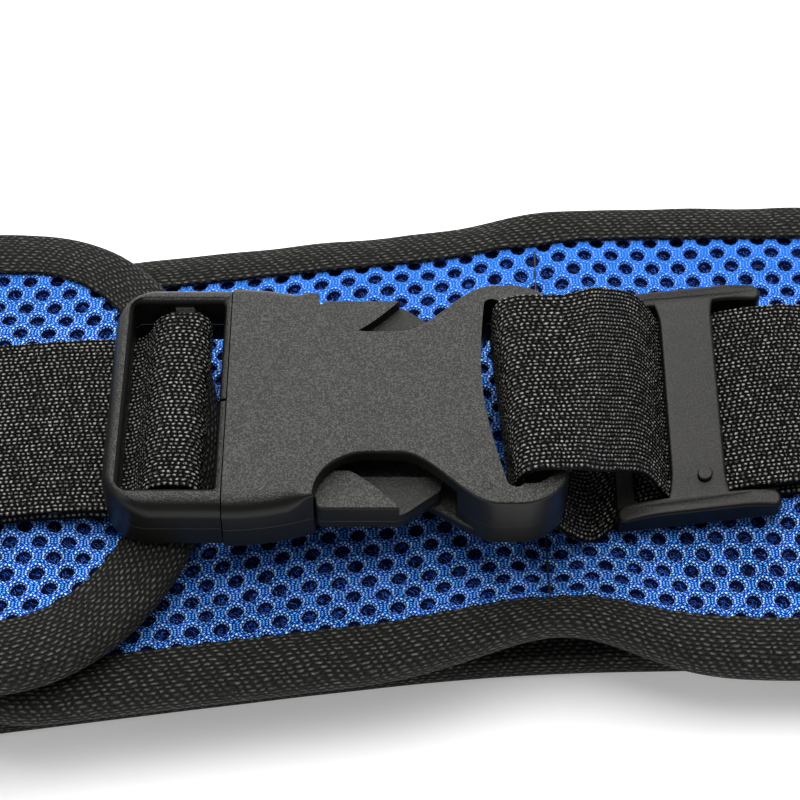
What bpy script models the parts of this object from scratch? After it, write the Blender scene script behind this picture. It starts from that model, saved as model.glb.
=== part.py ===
# A padded gait belt, fastened and laid flat as a loop on a table.
# Metres, +Z up. The back of the loop lies on z = 0, the buckle is on top near x = 0,
# and the belt runs along X. -Y is the belt's front edge, +Y its rear edge.

import math

import bmesh
import bpy

# Clearances
GAP = 0.0003                # between two pieces that touch or are sewn together
PLAY = 0.0006               # between two plastic pieces that slide in each other

# Padded band
PAD_HALF = 0.063            # half the width of the padded band
COVER = 0.0022              # spacer mesh outside
FOAM = 0.0060               # foam at the middle of the band
LEFT_FOAM = 0.0042          # thinner foam in the left end, which lies under the buckle
FOAM_EDGE = 0.0008          # foam left where the edge is drawn in
LINING = 0.0012             # inner cloth
EDGE_RISE = 0.0014          # how far the flat side is drawn in at the edge
CROWN_POWER = 2             # how flat the crown stays before it falls to the edge
BINDING_WIDTH = 0.0120      # tape shown on each side of the edge
BINDING = 0.0009            # thickness of the tape
INNER_RING = 0.024          # distance from the edge where the drawn-in side starts

# Where the band lies
LOOP_GAP = 0.011            # space inside the flattened loop
TURN_X = 0.215              # where both turns of the loop start
RIGHT_TIP_X = -0.120        # hidden end of the right band
LEFT_TIP_X = -0.043         # rounded end of the left band
END_LENGTH = 0.045          # length of each rounded end
LEFT_Y = 0.0004             # middle of the left band
BEND_Y = 0.016              # middle of the right band, right of the bend
BEND_X = 0.025              # where the right band bends in plan
BEND_SLOPE = 0.15           # sideways slope left of the bend
BEND_ROUND = 0.030          # roundness of the bend
BACK_SHIFT = 0.013          # the back of the loop lies this much further to the rear
TILT = math.radians(5.0)    # right of the buckle the band lies tilted, rear edge up
TILT_FROM = 0.005
TILT_TO = 0.040
SEAM_X = 0.033              # quilting seam across the right band
SEAM_WIDTH = 0.006
SEAM_DEPTH = 0.60           # share of the foam pressed flat in the seam
HUMP = 0.0080               # rise of the front edge beside the seam
HUMP_PULL = 0.0060          # how far the seam draws the front edge in
HUMP_X = 0.036
HUMP_WIDTH = 0.022

# Webbing
WEB_HALF = 0.025            # half of a 50 mm webbing
WEB = 0.0017                # thickness
SEWN_X = 0.135              # right end of the sewn strap
TAIL_X = 0.120              # right end of the free tail
LEFT_SEWN_X = -0.150        # left end of the left strap
LEFT_SKEW = -0.003          # sideways shift of the left strap at its sewn end
STRAP_RISE_X = 0.045        # where the sewn strap leaves the pad
STRAP_SLOPE = 0.13          # sideways slope of the right strap
STRAP_STEP = 0.0095         # sideways step between the socket and the slider
STRAP_STEP_LONG = 0.0200    # length that the step takes

# Buckle
BUCKLE_Y = 0.001
BUCKLE_LIFT = 0.0004        # buckle's underside above the left band
BUCKLE_HIGH = 0.0145
PLATE = 0.0031              # top and bottom plates of the socket
JOINT_X = -0.038            # mouth of the socket
SOCKET_END_X = 0.0365
MOUTH_SET_OUT = 0.0005      # mouth wider than the plug on each side
MOUTH_WALL = 0.0042
MOUTH_LONG = 0.0195         # length of the closed mouth
TOP_WAIST = 0.0175
BOTTOM_WAIST = 0.0215
WAIST_FROM = -0.010
WAIST_TO = 0.000
LOBE_X = 0.021              # where the lobes are widest
LOBE_ROUND = 0.0110
LOBE_WALL = 0.0053
SLOT_X = 0.0183
SLOT_LONG = 0.0066          # width of the strap slot along the belt
SLOT_WALL = 0.0060          # wall between the cavity and the slot
BAR_LOW = 0.0020            # end bar above the socket's underside
BAR_HIGH = 0.0088
BAR_EASE = 0.0020           # eased edges of the bars that a strap bends round
FRAME_X = -0.0645           # left side of the plug
FRAME_PLAY = 0.0018         # beside the webbing in the plug's window
FRAME_BAR = 0.0042          # left bar of the plug
FRAME_ROUND = 0.0100        # outer corners of the plug's left side
WINDOW_ROUND = 0.0015       # inner corners of the plug's window, within FRAME_PLAY
FRAME_SIDE = 0.0052         # side bars of the plug
FRAME_RELIEF = 0.0070       # height under the left bar for the strap
ROLL_X = -0.053             # left side of the bar that the strap is rolled on
ROLL_LONG = 0.0080
ROLL_LOW = 0.0042
ROLL_HIGH = 0.0105
CROSS_LONG = 0.0026         # wall of the plug that meets the socket
TONGUE_HALF = 0.0080
TONGUE_LONG = 0.0260

# Spring prongs of the plug
PRONG_PIVOT_X = -0.0375
PRONG_HALF = 0.0030         # half the width of an arm
PRONG_CLEAR = 0.0023        # between an arm and the mouth's wall
TAB_SET_IN = 0.0025         # tab's outer side inside the mouth's outer side
TAB_LONG = 0.0235
TAB_TIP = 0.0035            # from the tab to the prong's tip
TAB_DEEP = 0.0035           # tab's inner side inside the arm's middle
CAP_SET_BACK = 0.0034       # raised finger cap, set back from the tab's ends
CAP_WIDE = 0.0045
CAP_TOP = 0.0010            # cap below the top of the buckle

# Slider
SLIDER_X = 0.0669           # middle of the centre bar
SLIDER_LONG = 0.0373
SLIDER_PLAY = 0.0016        # beside the webbing in the slider's slots
SLIDER_END = 0.0044         # end bars, front and rear
SLIDER_SIDE = 0.0047        # left and right bars
SLIDER_ROUND = 0.0020       # corners of the slider
SLIDER_CENTRE = 0.0124      # centre bar
SLIDER_HIGH = 0.0055
SIDE_HIGH = 0.0020          # left and right bars, thinner so that the strap lies low
CENTRE_LOW = 0.0035         # under the centre bar
CENTRE_HIGH = 0.0066

# Levels that follow from the sizes above
FULL = LINING + FOAM + COVER + 2 * GAP
LEFT_FULL = LINING + LEFT_FOAM + COVER + 2 * GAP
RIGHT_Z = FULL + LOOP_GAP
RIGHT_TOP = RIGHT_Z + FULL
LEFT_Z = RIGHT_TOP + 2 * GAP + BINDING     # on the tape under its edge
LEFT_TOP = LEFT_Z + LEFT_FULL + BINDING    # over the tape of its rounded end
BUCKLE_Z = LEFT_TOP + BUCKLE_LIFT
BUCKLE_TOP = BUCKLE_Z + BUCKLE_HIGH
SEWN_Z = RIGHT_TOP + GAP + WEB / 2
SLIDER_Z = SEWN_Z + WEB / 2 + GAP
FRAME_HALF = WEB_HALF + FRAME_PLAY + FRAME_SIDE
MOUTH_HALF = FRAME_HALF + MOUTH_SET_OUT
SLOT_HALF = WEB_HALF + 2 * PLAY
LOBE_HALF = SLOT_HALF + LOBE_WALL
PRONG_PIVOT_Y = MOUTH_HALF - MOUTH_WALL - PRONG_CLEAR - PRONG_HALF
TAB_HALF = MOUTH_HALF - TAB_SET_IN
TAB_INNER = PRONG_PIVOT_Y - TAB_DEEP
SLIDER_HALF = WEB_HALF + SLIDER_PLAY + SLIDER_END
STEPS_IN = (0.0, BINDING_WIDTH / 2, BINDING_WIDTH, INNER_RING)
EDGE_START = 1 - INNER_RING / PAD_HALF
EDGE_FULL = 1 - BINDING_WIDTH / PAD_HALF

for old in list(bpy.data.objects):
    bpy.data.objects.remove(old)


# Small helpers

def smooth(value):
    held = min(max(value, 0.0), 1.0)
    return held * held * (3 - 2 * held)


def mix(start, end, share):
    return start + (end - start) * share


def material(name, colour, roughness):
    made = bpy.data.materials.new(name)
    made.use_nodes = True
    shader = made.node_tree.nodes["Principled BSDF"]
    shader.inputs["Base Color"].default_value = (*colour, 1.0)
    shader.inputs["Roughness"].default_value = roughness
    shader.inputs["Metallic"].default_value = 0.0
    return made


MATERIALS = {
    "mesh": ((0.015, 0.12, 0.62), 0.75),
    "foam": ((0.05, 0.06, 0.09), 0.90),
    "lining": ((0.02, 0.02, 0.022), 0.85),
    "tape": ((0.018, 0.018, 0.019), 0.85),
    "webbing": ((0.014, 0.014, 0.015), 0.70),
    "plastic": ((0.02, 0.02, 0.021), 0.45),
}


def solid(name, points, faces, kind):
    mesh = bpy.data.meshes.new(name)
    mesh.from_pydata(points, [], faces)
    shape = bmesh.new()
    shape.from_mesh(mesh)
    bmesh.ops.remove_doubles(shape, verts=shape.verts, dist=1e-6)
    bmesh.ops.recalc_face_normals(shape, faces=shape.faces)
    shape.to_mesh(mesh)
    shape.free()
    made = bpy.data.objects.new(name, mesh)
    made.data.materials.append(material(name, *MATERIALS[kind]))
    bpy.context.scene.collection.objects.link(made)
    return made


def loft(name, rings, kind):
    # A closed solid through rings of equal point counts, with flat ends
    count = len(rings[0])
    points = [point for ring in rings for point in ring]
    faces = []
    for row in range(len(rings) - 1):
        for side in range(count):
            after = (side + 1) % count
            faces.append((row * count + side, row * count + after,
                          (row + 1) * count + after, (row + 1) * count + side))
    faces.append(tuple(range(count)))
    faces.append(tuple(range(len(points) - count, len(points))))
    return solid(name, points, faces, kind)


def prism(name, outline, low, high, kind="plastic"):
    return loft(name, [[(x, y, low) for x, y in outline], [(x, y, high) for x, y in outline]], kind)


def rounded_outline(x_range, y_range, left_round, right_round, steps=5):
    # A rectangle in plan with a quarter arc at each corner
    (x0, x1), (y0, y1) = x_range, y_range
    corners = [(x0, y0, 1, 1, left_round, 180), (x1, y0, -1, 1, right_round, 270)]
    corners += [(x1, y1, -1, -1, right_round, 0), (x0, y1, 1, -1, left_round, 90)]
    outline = []
    for x, y, inward_x, inward_y, radius, start in corners:
        for step in range(steps + 1):
            angle = math.radians(start + 90 * step / steps)
            px = x + radius * (inward_x + math.cos(angle))
            outline.append((px, y + radius * (inward_y + math.sin(angle))))
    return outline


def box(name, x_range, y_range, z_range):
    (x0, x1), (y0, y1) = x_range, y_range
    return prism(name, [(x0, y0), (x1, y0), (x1, y1), (x0, y1)], *z_range)


def bar(name, x_range, y_range, z_range, ease):
    # A bar along Y with its four long edges eased
    (x0, x1), (z0, z1) = x_range, z_range
    section = [(x0 + ease, z0), (x1 - ease, z0), (x1, z0 + ease), (x1, z1 - ease)]
    section += [(x1 - ease, z1), (x0 + ease, z1), (x0, z1 - ease), (x0, z0 + ease)]
    return loft(name, [[(x, y, z) for x, z in section] for y in y_range], "plastic")


def combine(base, tools, operation):
    # Boolean of the tools into the base, after which the tools are removed
    for tool in tools:
        step = base.modifiers.new(tool.name, "BOOLEAN")
        step.operation = operation
        step.solver = "EXACT"
        step.object = tool
    seen = base.evaluated_get(bpy.context.evaluated_depsgraph_get())
    shaped = bpy.data.meshes.new_from_object(seen)
    base.modifiers.clear()
    base.data = shaped
    for tool in tools:
        bpy.data.objects.remove(tool)
    return base


def pivot_at(piece, point):
    # Move an object's origin without moving its shape
    for vertex in piece.data.vertices:
        vertex.co.x -= point[0]
        vertex.co.y -= point[1]
        vertex.co.z -= point[2]
    piece.location = point


# Where the belt lies

def centre_line(x):
    # The right band's middle: straight and sloping left of the bend, level right of it
    away = x - BEND_X
    return BEND_Y - BEND_SLOPE * (math.hypot(away, BEND_ROUND) - away) / 2


def tilt_rise(x, y):
    share = smooth((x - TILT_FROM) / (TILT_TO - TILT_FROM))
    return share * math.tan(TILT) * (y - BEND_Y)


def hump_share(x, across):
    # How far a point shares in the hump: a bell along the band, growing towards the front edge
    front = max(-across / PAD_HALF, 0.0)
    return front ** 3 * math.exp(-((x - HUMP_X) / HUMP_WIDTH) ** 2)


def strap_line(x):
    # Sideways place of the right strap: straight in the socket, then a step and a slope
    away = max(x - SOCKET_END_X, 0.0)
    return BUCKLE_Y + STRAP_STEP * smooth(away / STRAP_STEP_LONG) + STRAP_SLOPE * away


def strap_tilt(x, y):
    # The strap is level in the socket and takes the band's tilt before it meets the pad
    share = smooth((x - SOCKET_END_X) / (STRAP_RISE_X - SOCKET_END_X))
    return share * math.tan(TILT) * (y - BEND_Y)


class Band:
    # One stretch of the padded band: how it is placed, its foam, and which side is crowned

    def __init__(self, place, foam, outward):
        self.place = place
        self.foam = foam
        self.outward = outward

    def levels(self, along, nearness):
        # Six heights over the band's inner side: lining, foam and cover, lower and upper faces
        near = min(abs(nearness), 1.0)
        rise = EDGE_RISE * smooth((near - EDGE_START) / (EDGE_FULL - EDGE_START))
        foam = self.foam(along)
        fill = FOAM_EDGE + (foam - FOAM_EDGE) * (1 - near ** CROWN_POWER)
        full = LINING + foam + COVER + 2 * GAP
        total = LINING + fill + COVER + 2 * GAP
        low = mix(full - rise - total, rise, self.outward(along))
        foam_low = low + LINING + GAP
        cover_low = foam_low + fill + GAP
        return low, low + LINING, foam_low, foam_low + fill, cover_low, cover_low + COVER


def spoke(along, across):
    # Points from the edge to the middle at one station, as (along, across, nearness)
    half = abs(across)
    side = math.copysign(1.0, across)
    rows = [(along, side * (half - step), (half - step) / half) for step in STEPS_IN]
    return rows + [(along, 0.0, 0.0)]


def fan_spoke(middle, angle):
    # The same in a rounded end: a ray from the middle of the half ellipse
    reach_x = END_LENGTH * math.cos(angle)
    reach_y = PAD_HALF * math.sin(angle)
    reach = math.hypot(reach_x, reach_y)
    rows = []
    for step in STEPS_IN + (reach,):
        share = (reach - step) / reach
        rows.append((middle + reach_x * share, reach_y * share, share))
    return rows


def rounded_spokes(stations, tip, fan_steps=10):
    # Spokes along the front edge, round the tip and back along the rear edge
    facing = math.copysign(1.0, tip - stations[0])
    middle = tip - facing * END_LENGTH
    front = [spoke(x, -PAD_HALF) for x in stations + [middle]]
    rear = [spoke(x, PAD_HALF) for x in [middle] + stations[::-1]]
    fan = []
    for step in range(1, fan_steps):
        angle = -math.pi / 2 + math.pi * step / fan_steps
        rows = fan_spoke(0.0, angle)
        fan.append([(middle + facing * along, across, near) for along, across, near in rows])
    return front + fan + rear


def layer(name, band, grid, low, high, kind, merged_middle):
    # A closed sheet between two of the band's levels over a grid of rows
    rows, columns = len(grid), len(grid[0])
    points = []
    for pick in (low, high):
        for row in grid:
            for along, across, near in row:
                points.append(band.place(along, across, band.levels(along, near)[pick]))
    upper = rows * columns
    faces = []
    for i in range(rows - 1):
        for j in range(columns - 1):
            a, b = i * columns + j, i * columns + j + 1
            c, d = b + columns, a + columns
            faces.append((a, d, c, b))
            faces.append((a + upper, b + upper, c + upper, d + upper))
    rim = [[i * columns for i in range(rows)]]
    rim.append(list(range(columns)))
    rim.append([(rows - 1) * columns + j for j in range(columns)])
    if not merged_middle:
        rim.append([i * columns + columns - 1 for i in range(rows)])
    for line in rim:
        for a, b in zip(line, line[1:]):
            faces.append((a, b, b + upper, a + upper))
    return solid(name, points, faces, kind)


def binding(name, band, spokes):
    # Folded tape: a U section over the edge at every spoke
    rings = []
    for rows in spokes:
        edge, half, inner = rows[0], rows[1], rows[2]
        out = [edge[k] - half[k] for k in (0, 1)]
        reach = math.hypot(*out)

        def at(row, height):
            return band.place(row[0], row[1], height)

        def outside(distance, height):
            along = edge[0] + out[0] / reach * distance
            across = edge[1] + out[1] / reach * distance
            return band.place(along, across, height)

        heights = [band.levels(row[0], row[2]) for row in (inner, half, edge)]
        tops = [level[5] + GAP for level in heights]
        lows = [level[0] - GAP for level in heights]
        ring = [at(row, top + BINDING) for row, top in zip((inner, half, edge), tops)]
        ring.append(outside(GAP + BINDING, tops[2]))
        ring.append(outside(GAP + BINDING, lows[2]))
        ring += [at(row, low - BINDING) for row, low in zip((edge, half, inner), lows[::-1])]
        ring += [at(inner, lows[0]), at(half, lows[1])]
        ring += [outside(GAP, lows[2]), outside(GAP, tops[2])]
        ring += [at(half, tops[1]), at(inner, tops[0])]
        rings.append(ring)
    return loft(name, rings, "tape")


LAYERS = (("lining", 0, 1, "lining"), ("foam", 2, 3, "foam"), ("cover", 4, 5, "mesh"))


def rounded_band(prefix, band, stations, tip):
    spokes = rounded_spokes(stations, tip)
    for word, low, high, kind in LAYERS:
        layer(f"{prefix}_{word}", band, spokes, low, high, kind, merged_middle=True)
    binding(f"{prefix}_binding", band, spokes)


def plain_band(prefix, band, stations):
    front = [spoke(along, -PAD_HALF) for along in stations]
    rear = [spoke(along, PAD_HALF) for along in stations]
    grid = [before + after[-2::-1] for before, after in zip(front, rear)]
    for word, low, high, kind in LAYERS:
        layer(f"{prefix}_{word}", band, grid, low, high, kind, merged_middle=False)
    binding(f"{prefix}_binding_front", band, front)
    binding(f"{prefix}_binding_rear", band, rear)


# The four stretches of the padded band

def place_right(x, across, height):
    share = hump_share(x, across)
    y = centre_line(x) + across + HUMP_PULL * share
    return (x, y, RIGHT_Z + height + tilt_rise(x, y) + HUMP * share)


def place_back(x, across, height):
    return (x, centre_line(x) + BACK_SHIFT + across, FULL - height)


def place_left(x, across, height):
    return (x, LEFT_Y + across, LEFT_Z + height)


def place_right_turn(angle, across, height):
    # angle runs from 90 degrees at the top to -90 degrees at the back
    share = 0.5 - angle / math.pi
    y = centre_line(TURN_X) + BACK_SHIFT * share + across
    reach = LOOP_GAP / 2 + height
    lift = (1 - share) * tilt_rise(TURN_X, y)
    return (TURN_X + reach * math.cos(angle), y, FULL + LOOP_GAP / 2 + reach * math.sin(angle) + lift)


def place_left_turn(angle, across, height):
    # angle runs from 270 degrees at the back to 90 degrees at the top
    share = 1.5 - angle / math.pi
    y = mix(centre_line(-TURN_X) + BACK_SHIFT, LEFT_Y, share) + across
    radius = (LEFT_Z - FULL) / 2
    reach = radius + height
    return (-TURN_X + reach * math.cos(angle), y, FULL + radius + reach * math.sin(angle))


def seam_foam(x):
    return FOAM * (1 - SEAM_DEPTH * math.exp(-((x - SEAM_X) / SEAM_WIDTH) ** 2))


def spread(start, end, count):
    return [mix(start, end, step / (count - 1)) for step in range(count)]


def make_right_band():
    band = Band(place_right, seam_foam, lambda x: 1.0)
    far = [TURN_X - GAP, mix(TURN_X, TILT_TO, 0.5)]
    beside = [SEAM_X + SEAM_WIDTH * share for share in range(8, -5, -1)]
    near = spread(TILT_FROM, RIGHT_TIP_X + END_LENGTH, 5)[:-1]
    rounded_band("right", band, far + beside + near, RIGHT_TIP_X)


def make_back_band():
    band = Band(place_back, lambda x: FOAM, lambda x: 0.0)
    plain_band("back", band, spread(-TURN_X + GAP, TURN_X - GAP, 7))


def make_left_band():
    band = Band(place_left, lambda x: LEFT_FOAM, lambda x: 1.0)
    stations = spread(-TURN_X + GAP, LEFT_TIP_X - END_LENGTH, 4)[:-1]
    rounded_band("left", band, stations, LEFT_TIP_X)


def make_turns(steps=8):
    quarter = math.pi / 2
    right = Band(place_right_turn, lambda angle: FOAM, lambda angle: 0.5 + angle / math.pi)
    plain_band("right_turn", right, spread(quarter, -quarter, steps))
    foam = lambda angle: mix(FOAM, LEFT_FOAM, 1.5 - angle / math.pi)
    left = Band(place_left_turn, foam, lambda angle: 1.5 - angle / math.pi)
    plain_band("left_turn", left, spread(3 * quarter, quarter, steps))


# Webbing

def strap(name, path, line, tilted):
    # A flat tape along a path of (x, z) points, with its sideways place from a line
    rings = []
    for step, (x, z) in enumerate(path):
        before = path[max(step - 1, 0)]
        after = path[min(step + 1, len(path) - 1)]
        run = (after[0] - before[0], after[1] - before[1])
        length = math.hypot(*run)
        side = (-run[1] / length * WEB / 2, run[0] / length * WEB / 2)
        ring = []
        for sign, y in ((1, -WEB_HALF), (1, WEB_HALF), (-1, WEB_HALF), (-1, -WEB_HALF)):
            px = x + sign * side[0]
            py = line(x) + y
            ring.append((px, py, z + sign * side[1] + (strap_tilt(x, py) if tilted else 0.0)))
        rings.append(ring)
    return loft(name, rings, "webbing")


def rounded_path(points, reach, steps=4):
    # Round each corner of a path with a quadratic curve
    path = [points[0]]
    for before, corner, after in zip(points, points[1:], points[2:]):
        near = min(reach, math.dist(before, corner) / 2)
        far = min(reach, math.dist(corner, after) / 2)
        start = [mix(corner[k], before[k], near / math.dist(before, corner)) for k in (0, 1)]
        end = [mix(corner[k], after[k], far / math.dist(corner, after)) for k in (0, 1)]
        for step in range(steps + 1):
            share = step / steps
            path.append(tuple(mix(mix(start[k], corner[k], share), mix(corner[k], end[k], share), share)
                              for k in (0, 1)))
    path.append(points[-1])
    return path


def make_left_strap():
    # Two layers on the left band, rolled round the plug's bar
    lie = WEB / 2 + GAP
    low = LEFT_TOP + lie
    high = low + WEB + GAP
    bar_left = ROLL_X - lie
    bar_right = ROLL_X + ROLL_LONG + lie
    over = BUCKLE_Z + ROLL_HIGH + lie
    path = [(LEFT_SEWN_X, high), (bar_left - 2 * WEB, high), (bar_left, over), (bar_right, over)]
    path += [(bar_right, low), (LEFT_SEWN_X, low)]

    def line(x):
        return BUCKLE_Y + LEFT_SKEW * smooth((FRAME_X - x) / (FRAME_X - LEFT_SEWN_X) * 2)

    strap("left_strap", rounded_path(path, ROLL_LONG / 2), line, tilted=False)


def make_right_strap():
    lie = WEB / 2 + GAP
    bar_left = SLOT_X + SLOT_LONG
    under_bar = BUCKLE_Z + BAR_LOW - lie
    through = bar_left - lie - GAP
    bridge = SLIDER_Z + SIDE_HIGH + lie
    tuck = SLIDER_Z + CENTRE_LOW - lie
    centre_left = SLIDER_X - SLIDER_CENTRE / 2
    centre_right = SLIDER_X + SLIDER_CENTRE / 2
    side_left = SLIDER_X - SLIDER_LONG / 2
    side_right = SLIDER_X + SLIDER_LONG / 2
    split = centre_left + WEB
    crest = BUCKLE_TOP + 2 * WEB
    tail_z = SEWN_Z + WEB + GAP
    strap("strap_sewn", [(SEWN_X, SEWN_Z), (STRAP_RISE_X + GAP, SEWN_Z)], strap_line, tilted=True)
    loop = [(STRAP_RISE_X, SEWN_Z), (mix(STRAP_RISE_X, SOCKET_END_X, 0.3), SEWN_Z)]
    loop += [(bar_left + 2 * WEB, under_bar), (bar_left - WEB, under_bar), (through, under_bar + 2 * WEB)]
    loop.append((through, BUCKLE_TOP))
    loop += [(through + 2 * WEB, crest), (side_left - 4 * WEB, crest)]
    loop += [(side_left + SLIDER_SIDE + WEB, bridge + SLIDER_HIGH + 2 * WEB)]
    loop += [(centre_left - 2 * lie, SLIDER_Z + CENTRE_LOW + WEB), (centre_left - lie, tuck), (split, tuck)]
    strap("strap_loop", rounded_path(loop, 3 * WEB), strap_line, tilted=True)
    threaded = [(split + GAP, tuck), (centre_right, tuck), (side_right - SLIDER_SIDE - GAP, bridge)]
    threaded += [(side_right + GAP, bridge), (side_right + WEB, bridge)]
    strap("strap_in_slider", rounded_path(threaded, 2 * WEB), strap_line, tilted=True)
    tail = [(side_right + WEB + GAP, bridge), (side_right + 3 * WEB, bridge), (side_right + 8 * WEB, tail_z)]
    tail.append((TAIL_X, tail_z))
    strap("strap_tail", rounded_path(tail, 2 * WEB), strap_line, tilted=True)


# Buckle socket

def plate_half(x, waist):
    # Half width of a socket plate: mouth, waist, lobe and rounded end
    half = waist
    half += (MOUTH_HALF - waist) * (1 - smooth((x - JOINT_X) / (WAIST_FROM - JOINT_X)))
    half += (LOBE_HALF - waist) * smooth((x - WAIST_TO) / (LOBE_X - WAIST_TO))
    past = max(x - (SOCKET_END_X - LOBE_ROUND), 0.0)
    return half - LOBE_ROUND + math.sqrt(max(LOBE_ROUND ** 2 - past ** 2, 0.0))


def plate_outline(waist, start, end, steps=22):
    front = [(x, BUCKLE_Y - plate_half(x, waist)) for x in spread(start, end, steps)]
    rear = [(x, 2 * BUCKLE_Y - y) for x, y in reversed(front)]
    return front + rear


def make_socket():
    inset = PLATE / 4
    low, high = BUCKLE_Z, BUCKLE_TOP
    walls = (low + inset, high - inset)
    cavity_end = SLOT_X - SLOT_WALL
    body = prism("socket_body", plate_outline(TOP_WAIST, JOINT_X, SOCKET_END_X), high - PLATE, high)
    parts = [prism("bottom", plate_outline(BOTTOM_WAIST, JOINT_X, SOCKET_END_X), low, low + PLATE)]
    lobe_half = plate_half(LOBE_X, TOP_WAIST) - inset
    for sign in (-1, 1):
        outer = BUCKLE_Y + sign * (MOUTH_HALF - inset)
        inner = BUCKLE_Y + sign * (MOUTH_HALF - MOUTH_WALL)
        mouth_x = (JOINT_X + inset, JOINT_X + MOUTH_LONG)
        parts.append(box("mouth", mouth_x, sorted((outer, inner)), walls))
        outer = BUCKLE_Y + sign * lobe_half
        inner = BUCKLE_Y + sign * (lobe_half - LOBE_WALL)
        lobe_x = (LOBE_X - LOBE_WALL, SOCKET_END_X - LOBE_ROUND)
        parts.append(box("lobe", lobe_x, sorted((outer, inner)), walls))
    span = (BUCKLE_Y - lobe_half + inset, BUCKLE_Y + lobe_half - inset)
    parts.append(box("wall", (cavity_end, SLOT_X + inset), span, walls))
    combine(body, parts, "UNION")
    slot_span = (BUCKLE_Y - SLOT_HALF, BUCKLE_Y + SLOT_HALF)
    past = (low - inset, high + inset)
    cuts = [box("slot", (SLOT_X, SLOT_X + SLOT_LONG), slot_span, past)]
    end_x = (SLOT_X + SLOT_LONG / 2, SOCKET_END_X + inset)
    cuts.append(box("bar_top", end_x, slot_span, (low + BAR_HIGH, high + inset)))
    cuts.append(box("bar_under", end_x, slot_span, (low - inset, low + BAR_LOW)))
    combine(body, cuts, "DIFFERENCE")
    bar_x = (SLOT_X + SLOT_LONG, SOCKET_END_X - inset)
    bar_span = (slot_span[0] - inset, slot_span[1] + inset)
    combine(body, [bar("bar", bar_x, bar_span, (low + BAR_LOW, low + BAR_HIGH), BAR_EASE)], "UNION")


# Buckle plug

def make_plug():
    # A rounded ring, open under its left bar for the strap, with a roll bar and a guide tongue
    low, high = BUCKLE_Z + GAP, BUCKLE_TOP - GAP
    inset = PLATE / 4
    right = JOINT_X - GAP
    inner = FRAME_HALF - FRAME_SIDE
    outside = (BUCKLE_Y - FRAME_HALF, BUCKLE_Y + FRAME_HALF)
    across = (BUCKLE_Y - inner, BUCKLE_Y + inner)
    held = (across[0] - inset, across[1] + inset)
    window_x = (FRAME_X + FRAME_BAR, right - CROSS_LONG)
    ring = rounded_outline((FRAME_X, right), outside, FRAME_ROUND, inset)
    frame = prism("plug_frame", ring, low, high)
    window = rounded_outline(window_x, across, WINDOW_ROUND, inset)
    cuts = [prism("window", window, low - inset, high + inset)]
    relief_x = (FRAME_X - inset, FRAME_X + FRAME_BAR + WINDOW_ROUND)
    cuts.append(box("relief", relief_x, across, (low - inset, low + FRAME_RELIEF)))
    combine(frame, cuts, "DIFFERENCE")
    roll = (BUCKLE_Z + ROLL_LOW, BUCKLE_Z + ROLL_HIGH)
    parts = [bar("roll", (ROLL_X, ROLL_X + ROLL_LONG), held, roll, BAR_EASE)]
    tongue_y = (BUCKLE_Y - TONGUE_HALF, BUCKLE_Y + TONGUE_HALF)
    tongue_x = (right - CROSS_LONG / 2, right + TONGUE_LONG)
    middle = (BUCKLE_Z + PLATE + PLAY, BUCKLE_TOP - PLATE - PLAY)
    parts.append(box("tongue", tongue_x, tongue_y, middle))
    combine(frame, parts, "UNION")


def make_prong(name, sign):
    # A sprung arm with a finger tab that stands out of the socket's side window
    low = BUCKLE_Z + PLATE + PLAY
    high = BUCKLE_TOP - PLATE - PLAY
    tab_x = JOINT_X + MOUTH_LONG + PLAY
    tab_end = tab_x + TAB_LONG
    tip = tab_end + TAB_TIP
    root = JOINT_X + GAP
    arm_out = PRONG_PIVOT_Y + PRONG_HALF
    arm_in = PRONG_PIVOT_Y - PRONG_HALF
    half_outline = [(root, arm_in), (root, arm_out), (tab_x - PLAY, arm_out), (tab_x, TAB_HALF)]
    half_outline += [(mix(tab_x, tab_end, 0.6), TAB_HALF), (tab_end, TAB_HALF - TAB_TIP)]
    half_outline += [(tip, PRONG_PIVOT_Y), (tip, TAB_INNER), (tab_x, TAB_INNER)]
    prong = prism(name, [(x, BUCKLE_Y + sign * y) for x, y in half_outline], low, high)
    cap_x = (tab_x + CAP_SET_BACK, tab_end - 2 * CAP_SET_BACK)
    cap_out = TAB_HALF - PLAY
    cap_y = sorted(BUCKLE_Y + sign * y for y in (cap_out, cap_out - CAP_WIDE))
    cap = box("cap", cap_x, cap_y, (low + PLATE, BUCKLE_TOP - CAP_TOP))
    combine(prong, [cap], "UNION")
    pivot_at(prong, (PRONG_PIVOT_X, BUCKLE_Y + sign * PRONG_PIVOT_Y, mix(low, high, 0.5)))


# Strap slider

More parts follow.
